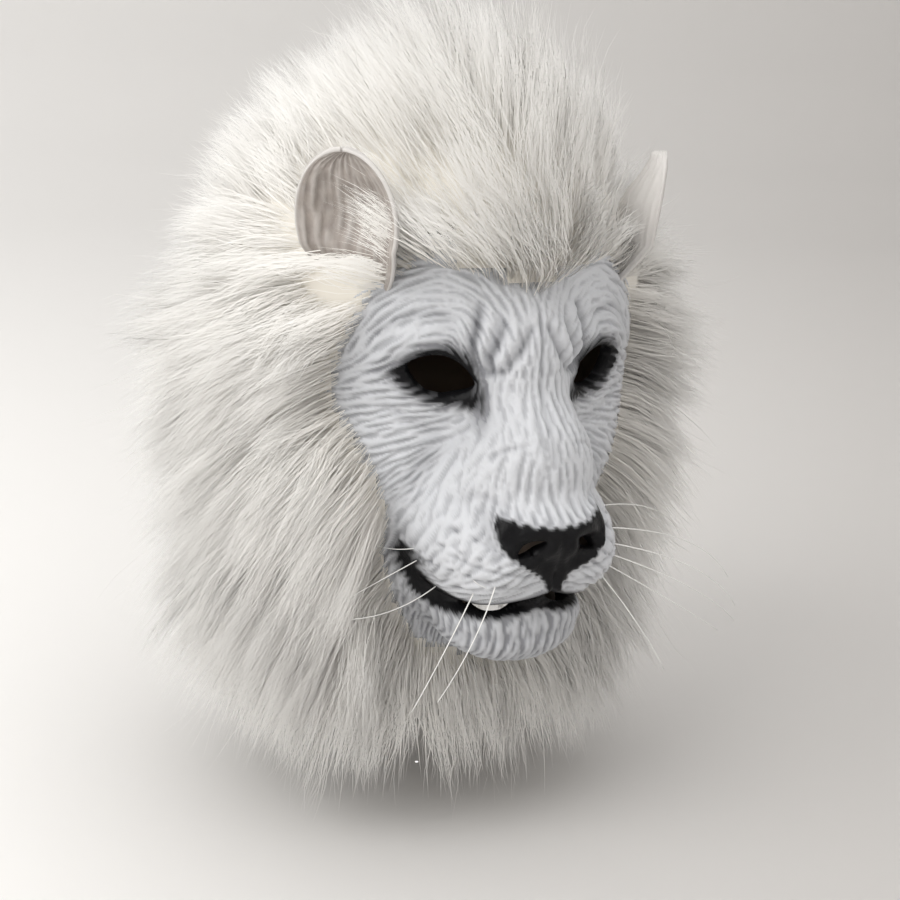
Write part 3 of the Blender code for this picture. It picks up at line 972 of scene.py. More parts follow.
NOSE_PAD = ((0, 174), (6, 173.8), (12, 173.5), (18, 172.5), (23.5, 170.5), (26, 174), (26.5, 179), (24, 184),
            (18, 189), (12, 193), (6.5, 197), (3.5, 202), (2.8, 208), (0, 209))
EYE_PATCH = ((57.5, 115), (53.5, 108), (47, 103), (38, 101), (29.5, 105), (24.5, 114), (23.3, 124), (24.5, 128.5),
             (29, 128), (36, 127), (43, 125.5), (51.5, 120.5))
LIP_PATCH = ((0, 203.0), (3, 203.5), (7, 205.5), (17, 209.3), (27, 211.5), (34, 211.5), (40, 208), (44, 203), (46, 196),
             (48, 194), (48.5, 200), (46, 209), (41, 218), (35, 223), (25, 222.5), (12, 221), (0, 218))
WHISKER_ROWS = (
    ((44.5, 196), (41, 195.8), (36.5, 196.6), (30, 197.5), (23, 200)),
    ((43, 186), (38.6, 186.6), (33.2, 188), (26.5, 190.5)),
    ((38.2, 178.5), (33.3, 180.5), (27.6, 183.5)),
    ((42, 203), (37, 204.5), (30, 206), (22, 207)),
)
# Across and down in millimetres, then the way of the strokes from outwards (0) to downwards (90)
STROKE_FLOW = (
    (0, 70, 90), (0, 100, 90), (0, 140, 90), (0, 166, 90), (8, 84, -80), (14, 78, -66), (24, 80, -46), (30, 74, -16),
    (40, 80, 8), (48, 76, 18), (56, 84, 34), (64, 92, 48), (52, 92, 30), (40, 92, 0), (30, 96, -60), (18, 98, -68),
    (12, 118, 86), (14, 140, 84), (20, 156, 80), (12, 166, 88), (70, 104, 58), (68, 116, 14), (66, 126, 8),
    (66, 140, 16), (60, 152, 28), (54, 168, 44), (48, 138, 6), (38, 142, 6), (50, 126, 4), (48, 154, 28),
    (30, 148, 60), (38, 164, 66), (28, 172, 76), (36, 182, 50), (24, 196, 30), (10, 202, 30), (44, 192, 62),
    (0, 236, 90), (20, 234, 88), (36, 228, 76), (30, 244, 80), (58, 186, 60),
)


@dataclass
class CarvedFace:
    """The face's outer sheet: carved strokes, folds, whisker pits, rolled rims, paint and painted shade."""

    form: HeadForm
    openings: list[Opening]
    window: Window
    rows: int = 330
    columns: int = 326
    half_angle: float = math.radians(75)
    first_level: float = 0.35
    last_level: float = 22.8
    covered: float = 0.011
    stroke_height: float = 0.00070
    stroke_step: float = 0.00070
    stroke_reach: int = 8
    calm: float = 0.80
    pad_rise: float = 0.0007
    pit_depth: float = 0.0007
    rim: float = 0.0052
    seed: int = 11
    paint: FacePaint = FacePaint()

    def even_grid(self) -> Array:
        """Samples the face with nearly even spacing."""
        coarse_azimuths = np.linspace(-self.half_angle, self.half_angle, 73)
        coarse_levels = np.linspace(self.first_level, self.last_level, 97)
        coarse = self.form.grid(coarse_azimuths, coarse_levels)
        along = np.linalg.norm(np.diff(coarse, axis=1), axis=-1)[20:].mean(axis=0)
        along = (along + along[::-1]) / 2
        down = np.linalg.norm(np.diff(coarse, axis=0), axis=-1)[:, 12:-12].mean(axis=1)
        reach = np.concatenate([[0], np.cumsum(along)])
        depth = np.concatenate([[0], np.cumsum(down)])
        azimuths = np.interp(np.linspace(0, reach[-1], self.columns), reach, coarse_azimuths)
        levels = np.interp(np.linspace(0, depth[-1], self.rows), depth, coarse_levels)
        return self.form.grid(azimuths, levels)

    def flow(self, across: Array, down: Array) -> Array:
        """The strokes' direction at millimetres across and down, in radians from outwards to downwards."""
        table = np.array(STROKE_FLOW, float)
        gap = (across[:, None] - table[:, 0]) ** 2 + (down[:, None] - table[:, 1]) ** 2
        weight = 1 / (gap + 16) ** 1.6
        double = np.radians(table[:, 2]) * 2
        return np.arctan2((weight * np.sin(double)).sum(1), (weight * np.cos(double)).sum(1)) / 2

    def strokes(self, points: Array, angles: Array, side: Array) -> Array:
        """Draws seeded noise out along the flow, as a modelling tool drags clay.

        Args:
            points: Points of the sheet in rows.
            angles: The flow's direction.
            side: Which half of the face each point is on.

        Returns:
            Heights with a spread of about one.
        """
        grid = points.reshape(self.rows, self.columns, 3)
        across_size = np.linalg.norm(np.gradient(grid, axis=1), axis=-1)
        down_size = np.linalg.norm(np.gradient(grid, axis=0), axis=-1)
        angle = angles.reshape(self.rows, self.columns)
        step_across = np.cos(angle) * side.reshape(angle.shape) * self.stroke_step / across_size
        step_down = np.sin(angle) * self.stroke_step / down_size
        chance = np.random.default_rng(self.seed)
        noise = chance.standard_normal(angle.shape)
        row, column = np.meshgrid(np.arange(self.rows), np.arange(self.columns), indexing="ij")
        total = noise.copy()
        for way in (1, -1):
            place_row, place_column = row.astype(float), column.astype(float)
            for step in range(1, self.stroke_reach + 1):
                near = (np.clip(place_row.round().astype(int), 0, self.rows - 1),
                        np.clip(place_column.round().astype(int), 0, self.columns - 1))
                place_row = np.clip(place_row + way * step_down[near], 0, self.rows - 1.001)
                place_column = np.clip(place_column + way * step_across[near], 0, self.columns - 1.001)
                total += self.sample(noise, place_row, place_column) * (1 - step / (self.stroke_reach + 2))
        total = self.blur(total, 1) - self.blur(total, 6)
        total /= total.std()
        return np.tanh(total * 1.3).ravel()

    @staticmethod
    def blur(values: Array, passes: int) -> Array:
        """Softens a grid of values."""
        for _ in range(passes):
            for axis in (0, 1):
                padded = np.concatenate([values.take([0], axis), values, values.take([-1], axis)], axis)
                count = values.shape[axis]
                parts = [padded.take(range(start, start + count), axis) for start in range(3)]
                values = parts[0] / 4 + parts[1] / 2 + parts[2] / 4
        return values

    @staticmethod
    def sample(values: Array, row: Array, column: Array) -> Array:
        """Reads a grid between its points."""
        upper, left = row.astype(int), column.astype(int)
        down, along = row - upper, column - left
        top = values[upper, left] * (1 - along) + values[upper, left + 1] * along
        bottom = values[upper + 1, left] * (1 - along) + values[upper + 1, left + 1] * along
        return top * (1 - down) + bottom * down

    def build(self) -> bpy.types.Object:
        """Makes the painted face.

        Returns:
            The finished object.
        """
        points = self.even_grid().reshape(-1, 3)
        sheet = Sheet(self.rows, self.columns, points)
        spacing = sheet.spacing()
        for opening in self.openings:
            points = opening.fit(self.form, points, np.minimum(spacing, 0.0012))
        sheet.points = points
        normals = self.form.normals(points)
        quads, triangles = sheet.faces(self.openings)
        outside = self.window.gap(points) > self.covered
        quads = quads[~outside[quads].all(axis=1)]
        triangles = triangles[~outside[triangles].all(axis=1)]

        across, down = np.abs(points[:, 0]) * 1000, -points[:, 2] * 1000
        flat = np.stack([across, down], axis=1)
        front = smooth_step(-points[:, 1], 0.045, 0.075)
        angles = self.flow(across, down)
        carved = self.strokes(points, angles, np.sign(points[:, 0] + 1e-9))

        height = np.zeros(len(points))
        shade = np.zeros(len(points))
        for mark in MARKS:
            gap, along = line_distance(flat, np.array(mark.line, float))
            taper = np.sin(np.clip(along * 0.84 + 0.08, 0, 1) * math.pi) ** 0.35
            if mark.line[-1][0] == 0:
                taper = np.sin(np.clip(along * 0.45 + 0.06, 0, 1) * math.pi) ** 0.35
            height += mark.height / 1000 * bell(gap, mark.width) * taper
            shade = np.maximum(shade, mark.shade * bell(gap, mark.width * 0.75) * taper)

        pad = outline_distance(flat, self.half_outline(NOSE_PAD))[0]
        patch = outline_distance(flat, np.array(EYE_PATCH, float))[0]
        lips = outline_distance(flat, self.half_outline(LIP_PATCH))[0]
        bare = smooth_step(pad, -1.0, 2.0) * smooth_step(lips, -1.5, 1.5) * smooth_step(patch, -5, 1)
        strength = self.calm + (1 - self.calm) * smooth_step(across, 30, 55)
        height += self.stroke_height * carved * bare * strength
        height += self.pad_rise * smooth_step(-pad, -1.5, 2.0)
        for row in WHISKER_ROWS:
            for place in row:
                gap = np.linalg.norm(flat - np.array(place), axis=1)
                height -= self.pit_depth * bell(gap, 0.9)
                shade = np.maximum(shade, 0.75 * bell(gap, 0.8))

        for opening in self.openings:
            gap = opening.distance(points)[0] * 1000
            drop = 0.9 if opening.name == "eye" else 0.6
            roll = 1.2 if opening.name == "eye" else 0.8
            height += (roll * bell(gap - 3.2, 2.0) - drop * bell(gap, 1.1)) / 1000

        brush = 1.1 * carved
        black = smooth_step(-(pad - 0.5 * brush), -1.1, 0.5)
        black = np.maximum(black, smooth_step(-(patch - 1.3 * brush), -3.6, 2.0) * front)
        black = np.maximum(black, smooth_step(-(lips - 0.5 * brush), -1.4, 0.8) * front)
        # Airbrushed grey round the eye patches, the pad and the lips; the last term greys the outer cheeks
        grey = 0.75 * smooth_step(-(patch - 2 * brush), -12, -1) + 0.40 * smooth_step(-(pad - brush), -8, -1)
        grey += 0.45 * smooth_step(-(lips - 1.5 * brush), -10, -1)
        grey += 0.32 * smooth_step(across, 50, 70) * smooth_step(down, 190, 130)
        # Painted shade in the low parts of the carved strokes, over a faint grey paint there
        groove = np.clip(-carved * 1.1 - 0.45, 0, 1) * (0.70 + 0.6 * grey)
        # The chin's grey: partly its paint, partly painted shade under the muzzle
        chin = smooth_step(down, 216, 230) * front
        # Adds the painted shade of the creases and whisker pits, the airbrushed grey, darker in the strokes' low parts
        # as painted shade, and the chin's grey
        groove = groove * bare + shade + 0.62 * grey * (0.6 - 0.4 * carved) + 0.5 * chin * (0.95 - 0.35 * carved)
        groove = np.clip(groove, 0, 1)

        fade = smooth_step(self.covered - self.window.gap(points), 0.0, 0.006)
        points = points + normals * (height * fade)[:, None]
        edges = border_edges(quads, triangles)
        rims, band = turned_edge(points, -normals * self.rim, edges)
        used = np.unique(edges)
        piece = array_mesh("face", np.vstack([points, rims]), np.vstack([quads, band]), triangles)
        # groove carries grey paint and painted shade, black the black paint, gloss the shinier paint
        for name, values in (("groove", groove), ("black", black),
                             ("gloss", np.maximum(smooth_step(-pad, -0.6, 1.0), 0.6 * black))):
            store(piece, name, np.concatenate([values, values[used]]))
        settle(piece, "latex_head", self.paint.material())
        return piece

    def half_outline(self, outline: tuple[tuple[float, float], ...]) -> Array:
        """Mirrors half an outline, so that distances across the midline hold."""
        half = np.array(outline, float)
        return np.vstack([half, (half * np.array([-1, 1]))[::-1][1:-1]])


HOOD_MARGIN = 0.0016


@dataclass
class LatexHood:
    """The hood behind the face: two millimetres of latex, open below and at every opening."""

    form: HeadForm
    openings: list[Opening]
    columns: int = 150
    wall: float = 0.0020
    inset: float = 0.0042
    latex: LatexAndHollowShade = LatexAndHollowShade()

    def build(self) -> bpy.types.Object:
        """Makes the hood.

        Returns:
            The finished object.
        """
        points, quads, fan = self.form.dome(self.columns)
        rows = (len(points) - 1) // self.columns
        sheet = Sheet(rows, self.columns, points[1:], closed=True)
        spacing = np.minimum(sheet.spacing(), 0.0050)
        for opening in self.openings:
            sheet.points = opening.fit(self.form, sheet.points, spacing)
        quads, triangles = sheet.faces(self.openings)
        normals = self.form.normals(np.vstack([points[:1], sheet.points]))
        points = np.vstack([points[:1], sheet.points])
        ahead = smooth_step(-points[:, 1], 0.0, 0.03)
        outside = points - normals * (self.inset * ahead)[:, None]
        inside = points - normals * (self.wall + self.inset * ahead)[:, None]
        quads, triangles = quads + 1, np.vstack([triangles + 1, fan])
        piece = shell_mesh("hood", outside, inside, quads, triangles)
        settle(piece, "latex_head", self.latex.material())
        return piece


@dataclass
class CuppedEar:
    """A rounded ear: a cupped leaf of latex with a thin rim and carved strokes inside."""

    form: HeadForm
    side: int
    name: str
    width: float = 0.054
    height: float = 0.055
    cup: float = 0.016
    wall: float = 0.0026
    stand_off: float = 0.008
    base_depth: float = 0.075
    azimuth: float = math.radians(43)
    splay: float = math.radians(60)
    lean: float = math.radians(8)
    columns: int = 65
    rows: int = 61
    paint: EarPaint = EarPaint()

    def frame(self) -> tuple[Array, Array, Array, Array]:
        """The ear's root, and its directions across, up and forward."""
        outward = np.array([self.side * math.sin(self.azimuth), -math.cos(self.azimuth), 0])
        root = self.form.cast(np.array([[0, 0, -self.base_depth]]), outward[None])[0]
        facing = np.array([self.side * math.sin(self.splay), -math.cos(self.splay), 0])
        across = np.array([facing[1], -facing[0], 0]) * self.side
        rise = np.array([0, 0, math.cos(self.lean)]) + outward * math.sin(self.lean)
        return root, across, rise, facing

    def local(self, points: Array) -> tuple[Array, Array, Array]:
        """Places of points across, above and ahead of the ear's root."""
        root, *ways = self.frame()
        return tuple((points - root) @ way for way in ways)

    def leaf(self) -> tuple[Array, Array, Array]:
        """The cupped leaf's middle surface.

        Returns:
            Points, shares across and heights.
        """
        root, across, rise, facing = self.frame()
        level = np.linspace(0, 1, self.rows)
        share = np.linspace(-1, 1, self.columns)
        share = share * (1.25 - 0.25 * share**2)
        height = -0.12 + 1.12 * np.sin(math.pi / 2 * level)
        round_top = np.sqrt(np.maximum(1 - ((height - 0.45) / 0.55) ** 2, 0.0005))
        narrow_base = 1 - 0.35 * ((0.45 - height) / 0.45) ** 2
        half = np.where(height > 0.45, round_top, narrow_base)
        stand_off = self.stand_off * np.minimum(1.5 * (height + 0.12) / 0.37 - 0.5, 1)
        hollow = (1 - share[None] ** 2) * (0.35 + 0.65 * np.sin(math.pi * np.maximum(height, 0)) ** 2)[:, None]
        points = (root + across * (self.width / 2 * half[:, None] * share[None])[..., None]
                  + rise * (self.height * height)[:, None, None]
                  + facing * (stand_off[:, None] - self.cup * hollow)[..., None])
        shares = np.broadcast_to(share, hollow.shape).ravel()
        return points.reshape(-1, 3), shares, np.repeat(height, self.columns)

    def build(self) -> bpy.types.Object:
        """Makes the painted ear.

        Returns:
            The finished object.
        """
        middle, share, height = self.leaf()
        facing = self.frame()[3]
        grid = middle.reshape(self.rows, self.columns, 3)
        normals = unit(np.cross(np.gradient(grid, axis=1), np.gradient(grid, axis=0)).reshape(-1, 3))
        normals *= np.sign(normals @ facing)[:, None]
        chance = np.random.default_rng(5 + self.side)
        noise = CarvedFace.blur(chance.standard_normal((self.rows, self.columns)), 1)
        streaks = sum(np.roll(noise, step, axis=0) for step in range(-7, 8))
        streaks = streaks - CarvedFace.blur(streaks, 10)
        streaks = np.tanh(streaks / streaks.std()).ravel()
        rim = 1 - np.maximum(np.abs(share), np.clip((height - 0.45) / 0.55, 0, 1) ** 2)
        inner = smooth_step(rim, 0.02, 0.14)
        thick = self.wall / 2 * (1 - 0.35 * smooth_step(0.10 - rim, 0, 0.10))
        front = middle + normals * (thick + 0.00055 * streaks * inner)[:, None]
        back = middle - normals * (thick + 0.00025 * streaks)[:, None]
        quads = ring_quads(self.rows, self.columns, closed=False)
        facing_out = np.cross(front[quads[:, 1]] - front[quads[:, 0]], front[quads[:, 3]] - front[quads[:, 0]])
        if (facing_out @ facing).sum() < 0:
            quads = quads[:, ::-1]
        piece = shell_mesh(self.name, front, back, quads, np.empty((0, 3), int))
        white = 1 - smooth_step(rim, -0.01, 0.04) * (0.95 - 0.15 * streaks)
        white = np.clip(white + 0.18 * np.maximum(streaks, 0), 0, 1)
        store(piece, "white", np.concatenate([white, np.ones(len(middle))]))
        settle(piece, self.name, self.paint.material())
        return piece


# The mane


@dataclass(frozen=True)
class PileRow:
    """How the fur grows at one height of the head."""

    name: str
    root_depth: float
    length: float
    stand_off: float
    sweep: float
    sag: float


PILE_ROWS = (
    PileRow("crown", 0.004, 0.66, 1.00, 0.40, 0.00),
    PileRow("upper crown", 0.016, 0.67, 0.90, 0.55, 0.00),
    PileRow("forelock", 0.040, 0.74, 0.75, 0.75, 0.05),
    PileRow("temple", 0.068, 0.68, 0.85, 0.55, 0.30),
    PileRow("side", 0.116, 0.70, 0.85, 0.40, 0.50),
    PileRow("cheek", 0.155, 0.80, 0.85, 0.35, 0.65),
    PileRow("jaw", 0.194, 0.90, 0.85, 0.35, 0.80),
    PileRow("throat", 0.232, 0.88, 0.75, 0.30, 1.00),
    PileRow("rim", 0.268, 0.62, 0.50, 0.10, 1.30),
)


SCALP_COLUMNS = 130


@dataclass(frozen=True)
class Coat:
    """One kind of hair in the pile."""

    name: str
    count: int
    points: int
    width: float
    length: float
    wander: float
    uneven: float
    gathered: float
    spread: float


COATS = (
    Coat("underfur", 36000, 4, 0.00064, 0.72, 0.10, 0.24, 0.60, 0.60),
    Coat("guard hair", 57000, 6, 0.00034, 1.00, 0.11, 0.20, 0.84, 0.34),
    Coat("flyaway", 1800, 6, 0.00034, 1.12, 0.34, 0.20, 0.35, 0.60),
)


@dataclass(frozen=True)
class EarZone:
    """A space by an ear that hair keeps out of: shares of the ear's width and height, and metres ahead."""

    name: str
    across: tuple[float, float]
    height: tuple[float, float]
    ahead: tuple[float, float]


EAR_ZONES = (
    EarZone("before the hollow", (-0.56, 0.30), (0.20, 1.12), (-0.010, 0.090)),
    EarZone("beside the rim", (0.30, 0.80), (0.62, 1.2), (-0.018, 0.018)),
)


class Region(Enum):
    """The mane's sewn panels, each a piece of its own."""

    CROWN = "mane_crown"
    RIGHT = "mane_right"
    LEFT = "mane_left"
    BACK_RIGHT = "mane_back_right"
    BACK_LEFT = "mane_back_left"


@dataclass
class Mane:
    """Long pile that grows from the hood and gathers into locks."""

    form: HeadForm
    window: Window
    ears: list[CuppedEar]
    lock_length: float = 0.092
    big_locks: int = 420
    small_locks: int = 2000
    guide_points: int = 6
    wave: float = 0.0060
    softness: float = 0.88
    backing: float = 0.006
    pit: float = 0.0034
    reserve: float = 0.016
    ear_clear: float = 0.052
    fringe_length: float = 0.70
    shoulder: float = 0.32
    lean: float = -0.28
    parted: float = 0.50
    thinned: float = 0.60
    dense_edge: float = 0.022
    brushed: tuple[float, float, float] = (0.7, 0.25, -0.55)
    upright: float = 0.85
    laid: float = 0.55
    rooted: float = 0.0015
    droop: float = 0.28
    frizz: float = 0.0014
    uncut: float = 0.03
    side_seam: float = 100.0
    crown_seam: float = 0.047
    cloth: tuple[float, float] = (0.0003, 0.0004)
    seed: int = 23
    pile: FurPile = FurPile()
    # The backing's colours are darker still: painted shade under the pile
    backing_pile: FurPile = FurPile("mane_backing", (0.90, 0.87, 0.80), (0.80, 0.75, 0.66))
    backing_tone: float = 0.6
    skin: dict[str, Array] = field(default_factory=dict)

    def ear_gap(self, points: Array) -> Array:
        """Distance from the nearer ear's foot."""
        gaps = np.full(len(points), 1.0)
        for ear in self.ears:
            root, across, rise, facing = ear.frame()
            foot = points - (root + facing * 0.004)
            span = np.stack([foot @ across / (ear.width * 0.40), foot @ facing / 0.006, foot @ rise / 0.010], axis=1)
            gaps = np.minimum(gaps, np.linalg.norm(span, axis=1) - 1)
        return gaps

    def before_ear(self, lines: Array) -> Array:
        """How far along each hair it first passes before an ear's hollow.

        Args:
            lines: Hairs.

        Returns:
            Shares from 0 to 1, and 1 where a hair keeps clear.
        """
        count = lines.shape[1]
        share = np.ones(len(lines))
        for ear in self.ears:
            width, height, ahead = ear.local(lines)
            inside = np.zeros(width.shape, bool)
            for zone in EAR_ZONES:
                inside |= (within(width, zone.across, ear.width) & within(height, zone.height, ear.height)
                           & within(ahead, zone.ahead))
            first = np.where(inside.any(axis=1), inside.argmax(axis=1), count - 1)
            share = np.minimum(share, first / (count - 1))
        return share

    def scalp(self) -> None:
        """Samples the head's skin as triangles that roots are scattered over."""
        points, quads, fan = self.form.dome(SCALP_COLUMNS)
        triangles = np.vstack([quads[:, [0, 1, 2]], quads[:, [0, 2, 3]], fan])
        corners = points[triangles]
        area = np.linalg.norm(np.cross(corners[:, 1] - corners[:, 0], corners[:, 2] - corners[:, 0]), axis=1) / 2
        self.skin = {"points": points, "normals": self.form.normals(points), "triangles": triangles, "area": area}

    def scatter(self, chance: np.random.Generator, count: int) -> tuple[Array, Array]:
        """Scatters roots over the furred part of the head.

        Args:
            chance: Seeded source of numbers.
            count: Roots wanted.

        Returns:
            Roots and the skin's directions there.
        """
        share = self.skin["area"] / self.skin["area"].sum()
        pick = chance.choice(len(share), size=count * 3, p=share)
        mix = chance.random((count * 3, 2))
        over = mix.sum(axis=1) > 1
        mix[over] = 1 - mix[over]
        weights = np.stack([1 - mix.sum(axis=1), mix[:, 0], mix[:, 1]], axis=1)[..., None]
        corners = self.skin["triangles"][pick]
        roots = (self.skin["points"][corners] * weights).sum(axis=1)
        normals = unit((self.skin["normals"][corners] * weights).sum(axis=1))
        gap = self.window.gap(roots)
        kept = (gap > -0.0006) & (self.ear_gap(roots) > 0) & (roots[:, 2] > -self.form.rim_depth + 0.002)
        kept &= chance.random(len(roots)) < self.thinned + (1 - self.thinned) * (gap < self.dense_edge)
        return roots[kept][:count], normals[kept][:count]

    def aims(self, roots: Array, normals: Array) -> tuple[Array, Array]:
        """Which way and how far the pile lies at each root.

        Args:
            roots: Roots on the skin.
            normals: The skin's directions.

        Returns:
            Unit directions and lengths.
        """
        depth = -roots[:, 2]
        known = [row.root_depth for row in PILE_ROWS]
        length, stand_off, sweep, sag = (
            np.interp(depth, known, [getattr(row, key) for row in PILE_ROWS])[:, None]
            for key in ("length", "stand_off", "sweep", "sag")
        )
        middle = np.array([0, -self.form.face_width * 0.7, -(self.window.top + self.window.bottom) / 2])
        away = roots - middle
        away = unit(away - normals * (away * normals).sum(axis=1, keepdims=True))
        way = normals * stand_off + away * sweep - np.array([0, 0, 1.0]) * sag
        for ear in self.ears:
            root, across, rise, facing = ear.frame()
            place = roots - (root + rise * 0.012)
            near = smooth_step(np.linalg.norm(place, axis=1), self.ear_clear, 0.026)[:, None]
            inner = smooth_step(place @ across, 0.0, ear.width * 0.35)[:, None]
            before = near * smooth_step(place @ facing, -0.012, 0.004)[:, None] * (1 - inner)
            brushed = np.array(self.brushed) * (ear.side, 1, 1) + normals * 0.5
            way = way * (1 - before) + brushed * before
            length = length * (1 - 0.15 * before)
            if ear.side > 0:
                nearby = smooth_step(np.linalg.norm(place, axis=1), 0.075, 0.030)[:, None]
                length = length * (1 - self.parted * nearby * inner)
        turned = np.abs(np.arctan2(roots[:, :1], -roots[:, 1:2]))
        high = smooth_step(depth, 0.110, 0.060)[:, None]
        length = length * (1 - self.shoulder * high * smooth_step(turned, 0.45, 1.2))
        ahead = smooth_step(turned, 1.4, 0.7)
        way = way + np.array([self.lean, 0, 0]) * high * ahead
        gap = self.window.gap(roots)[:, None]
        fringe = self.fringe_length + (1 - self.fringe_length) * 0.7 * high
        length = length * (1 - (1 - fringe) * smooth_step(gap, 0.016, 0.0))
        way = way - normals * 0.35 * high * ahead * smooth_step(gap, 0.030, 0.0)
        return unit(way), length[:, 0] * self.lock_length

    def paths(self, roots: Array, normals: Array, aim: Array, length: Array) -> Array:
        """Bends each strand from standing on the skin to lying along its aim.

        Args:
            roots: Roots.
            normals: The skin's directions.
            aim: Directions that the strands bend to.
            length: Their lengths.

        Returns:
            Points along each strand.
        """
        steps = self.guide_points - 1
        first = unit(normals * self.upright + aim * self.laid)
        place = roots - normals * self.rooted
        line = [place]
        for step in range(steps):
            share = (step + 0.5) / steps
            bend = smooth_step(share, 0.0, 0.55)
            way = first * (1 - bend) + aim * bend - np.array([0, 0, self.droop]) * share**2
            place = place + unit(way) * (length / steps)[:, None]
            line.append(place)
        return np.stack(line, axis=1)

    def waved(self, lines: Array, chance: np.random.Generator) -> Array:
        """Gives each lock a slack wave of its own.

        Args:
            lines: The locks' lines.
            chance: Seeded source of numbers.

        Returns:
            The waved lines.
        """
        share = np.linspace(0, 1, lines.shape[1])[None, :, None]
        turns = chance.uniform(0.6, 1.3, (len(lines), 1, 1))
        start = chance.uniform(0, 1, (len(lines), 1, 1))
        along = unit(lines[:, -1:] - lines[:, :1])
        side = unit(np.cross(along, chance.normal(0, 1, (len(lines), 1, 3))))
        swing = np.sin(2 * math.pi * (turns * share + start)) - np.sin(2 * math.pi * start)
        size = self.wave * chance.uniform(0.2, 1.0, (len(lines), 1, 1))
        return lines + side * swing * share * size

    def gather(self, lines: Array, guides: Array, strength: Array, spread: float) -> Array:
        """Draws strands towards the nearest lock's own line.

        Args:
            lines: Strands.
            guides: The locks' lines.
            strength: How closely each strand follows, from 0 to 1.
            spread: Share of its root's distance that a strand keeps at the tip.

        Returns:
            The gathered strands.
        """
        tree = KDTree(len(guides))
        for index, root in enumerate(guides[:, 0]):
            tree.insert(Vector(root), index)
        tree.balance()
        nearest = np.array([tree.find(Vector(root))[1] for root in lines[:, 0]])
        guide = guides[nearest]
        share = np.linspace(0, 1, lines.shape[1])[None, :, None]
        keep = 1 - (1 - spread) * smooth_step(share, 0.0, 1.0)
        followed = guide + (lines[:, :1] - guide[:, :1]) * keep
        weight = strength[:, None, None] * smooth_step(share, 0.05, 0.75)
        return lines * (1 - weight) + followed * weight

    def batch(self, chance: np.random.Generator, count: int, wander: float, uneven: float,
              length: float = 1.0) -> tuple[Array, Array]:
        """Grows one set of hairs with its own unevenness.

        Args:
            chance: Seeded source of numbers.
            count: How many.
            wander: How far their directions stray.
            uneven: How far their lengths stray.
            length: Share of the pile's length.

        Returns:
            Hairs and the skin's directions at their roots.
        """
        roots, normals = self.scatter(chance, count)
        aim, reach = self.aims(roots, normals)
        aim = unit(aim + chance.normal(0, wander, aim.shape))
        reach = reach * length * np.clip(chance.normal(1.0, uneven, len(roots)), 0.45, 1.30)
        return self.paths(roots, normals, aim, reach), normals

    def grow(self) -> list[tuple[Coat, Array, Array]]:
        """Grows every hair of the mane.

        Returns:
            Each coat with its hairs and the skin's directions at their roots.
        """
        chance = np.random.default_rng(self.seed)
        big = self.batch(chance, self.big_locks, 0.20, 0.14)[0]
        small = self.batch(chance, self.small_locks, 0.24, 0.16)[0]
        small = self.gather(small, big, chance.uniform(0.25, 0.80, len(small)), 0.45)
        small = self.waved(small, chance)
        grown = []
        for coat in COATS:
            count = coat.count
            lines, normals = self.batch(chance, count, coat.wander, coat.uneven, coat.length)
            strength = chance.beta(3.0, 1.3, len(lines)) * coat.gathered
            lines = self.gather(lines, small, strength, coat.spread)
            share = np.linspace(0, 1, self.guide_points)[None, :, None]
            lines = lines + chance.normal(0, self.frizz, lines.shape) * share
            clear = self.before_ear(lines)
            shorter = lines[:, :1] + (lines - lines[:, :1]) * clear[:, None, None]
            kept = (clear > 0.25) | (chance.random(len(lines)) < 0.02)
            lines = np.where((chance.random(len(lines)) < self.uncut)[:, None, None], lines, shorter)[kept]
            grown.append((coat, self.resampled(self.trim(lines), coat.points), normals[kept]))
        return grown

    def resampled(self, lines: Array, count: int) -> Array:
        """Keeps fewer points on each hair."""
        place = np.linspace(0, lines.shape[1] - 1, count)
        lower = np.minimum(place.astype(int), lines.shape[1] - 2)
        mix = (place - lower)[None, :, None]
        return lines[:, lower] * (1 - mix) + lines[:, lower + 1] * mix

    def trim(self, lines: Array) -> Array:
        """Shortens strands that reach further than the mane does.

        Args:
            lines: Strands.

        Returns:
            The strands within the mane's reach.
        """
        low = np.array(CAD_BOX[0]) - self.reserve
        high = np.array(CAD_BOX[1]) + self.reserve
        root = lines[:, :1]
        reach = lines - root
        with np.errstate(divide="ignore", invalid="ignore"):
            limit = np.where(reach > 0, (high - root) / reach, np.where(reach < 0, (low - root) / reach, np.inf))
        factor = np.clip(np.nan_to_num(limit, nan=np.inf).min(axis=(1, 2)), 0.2, 1.0)
        return root + reach * factor[:, None, None]

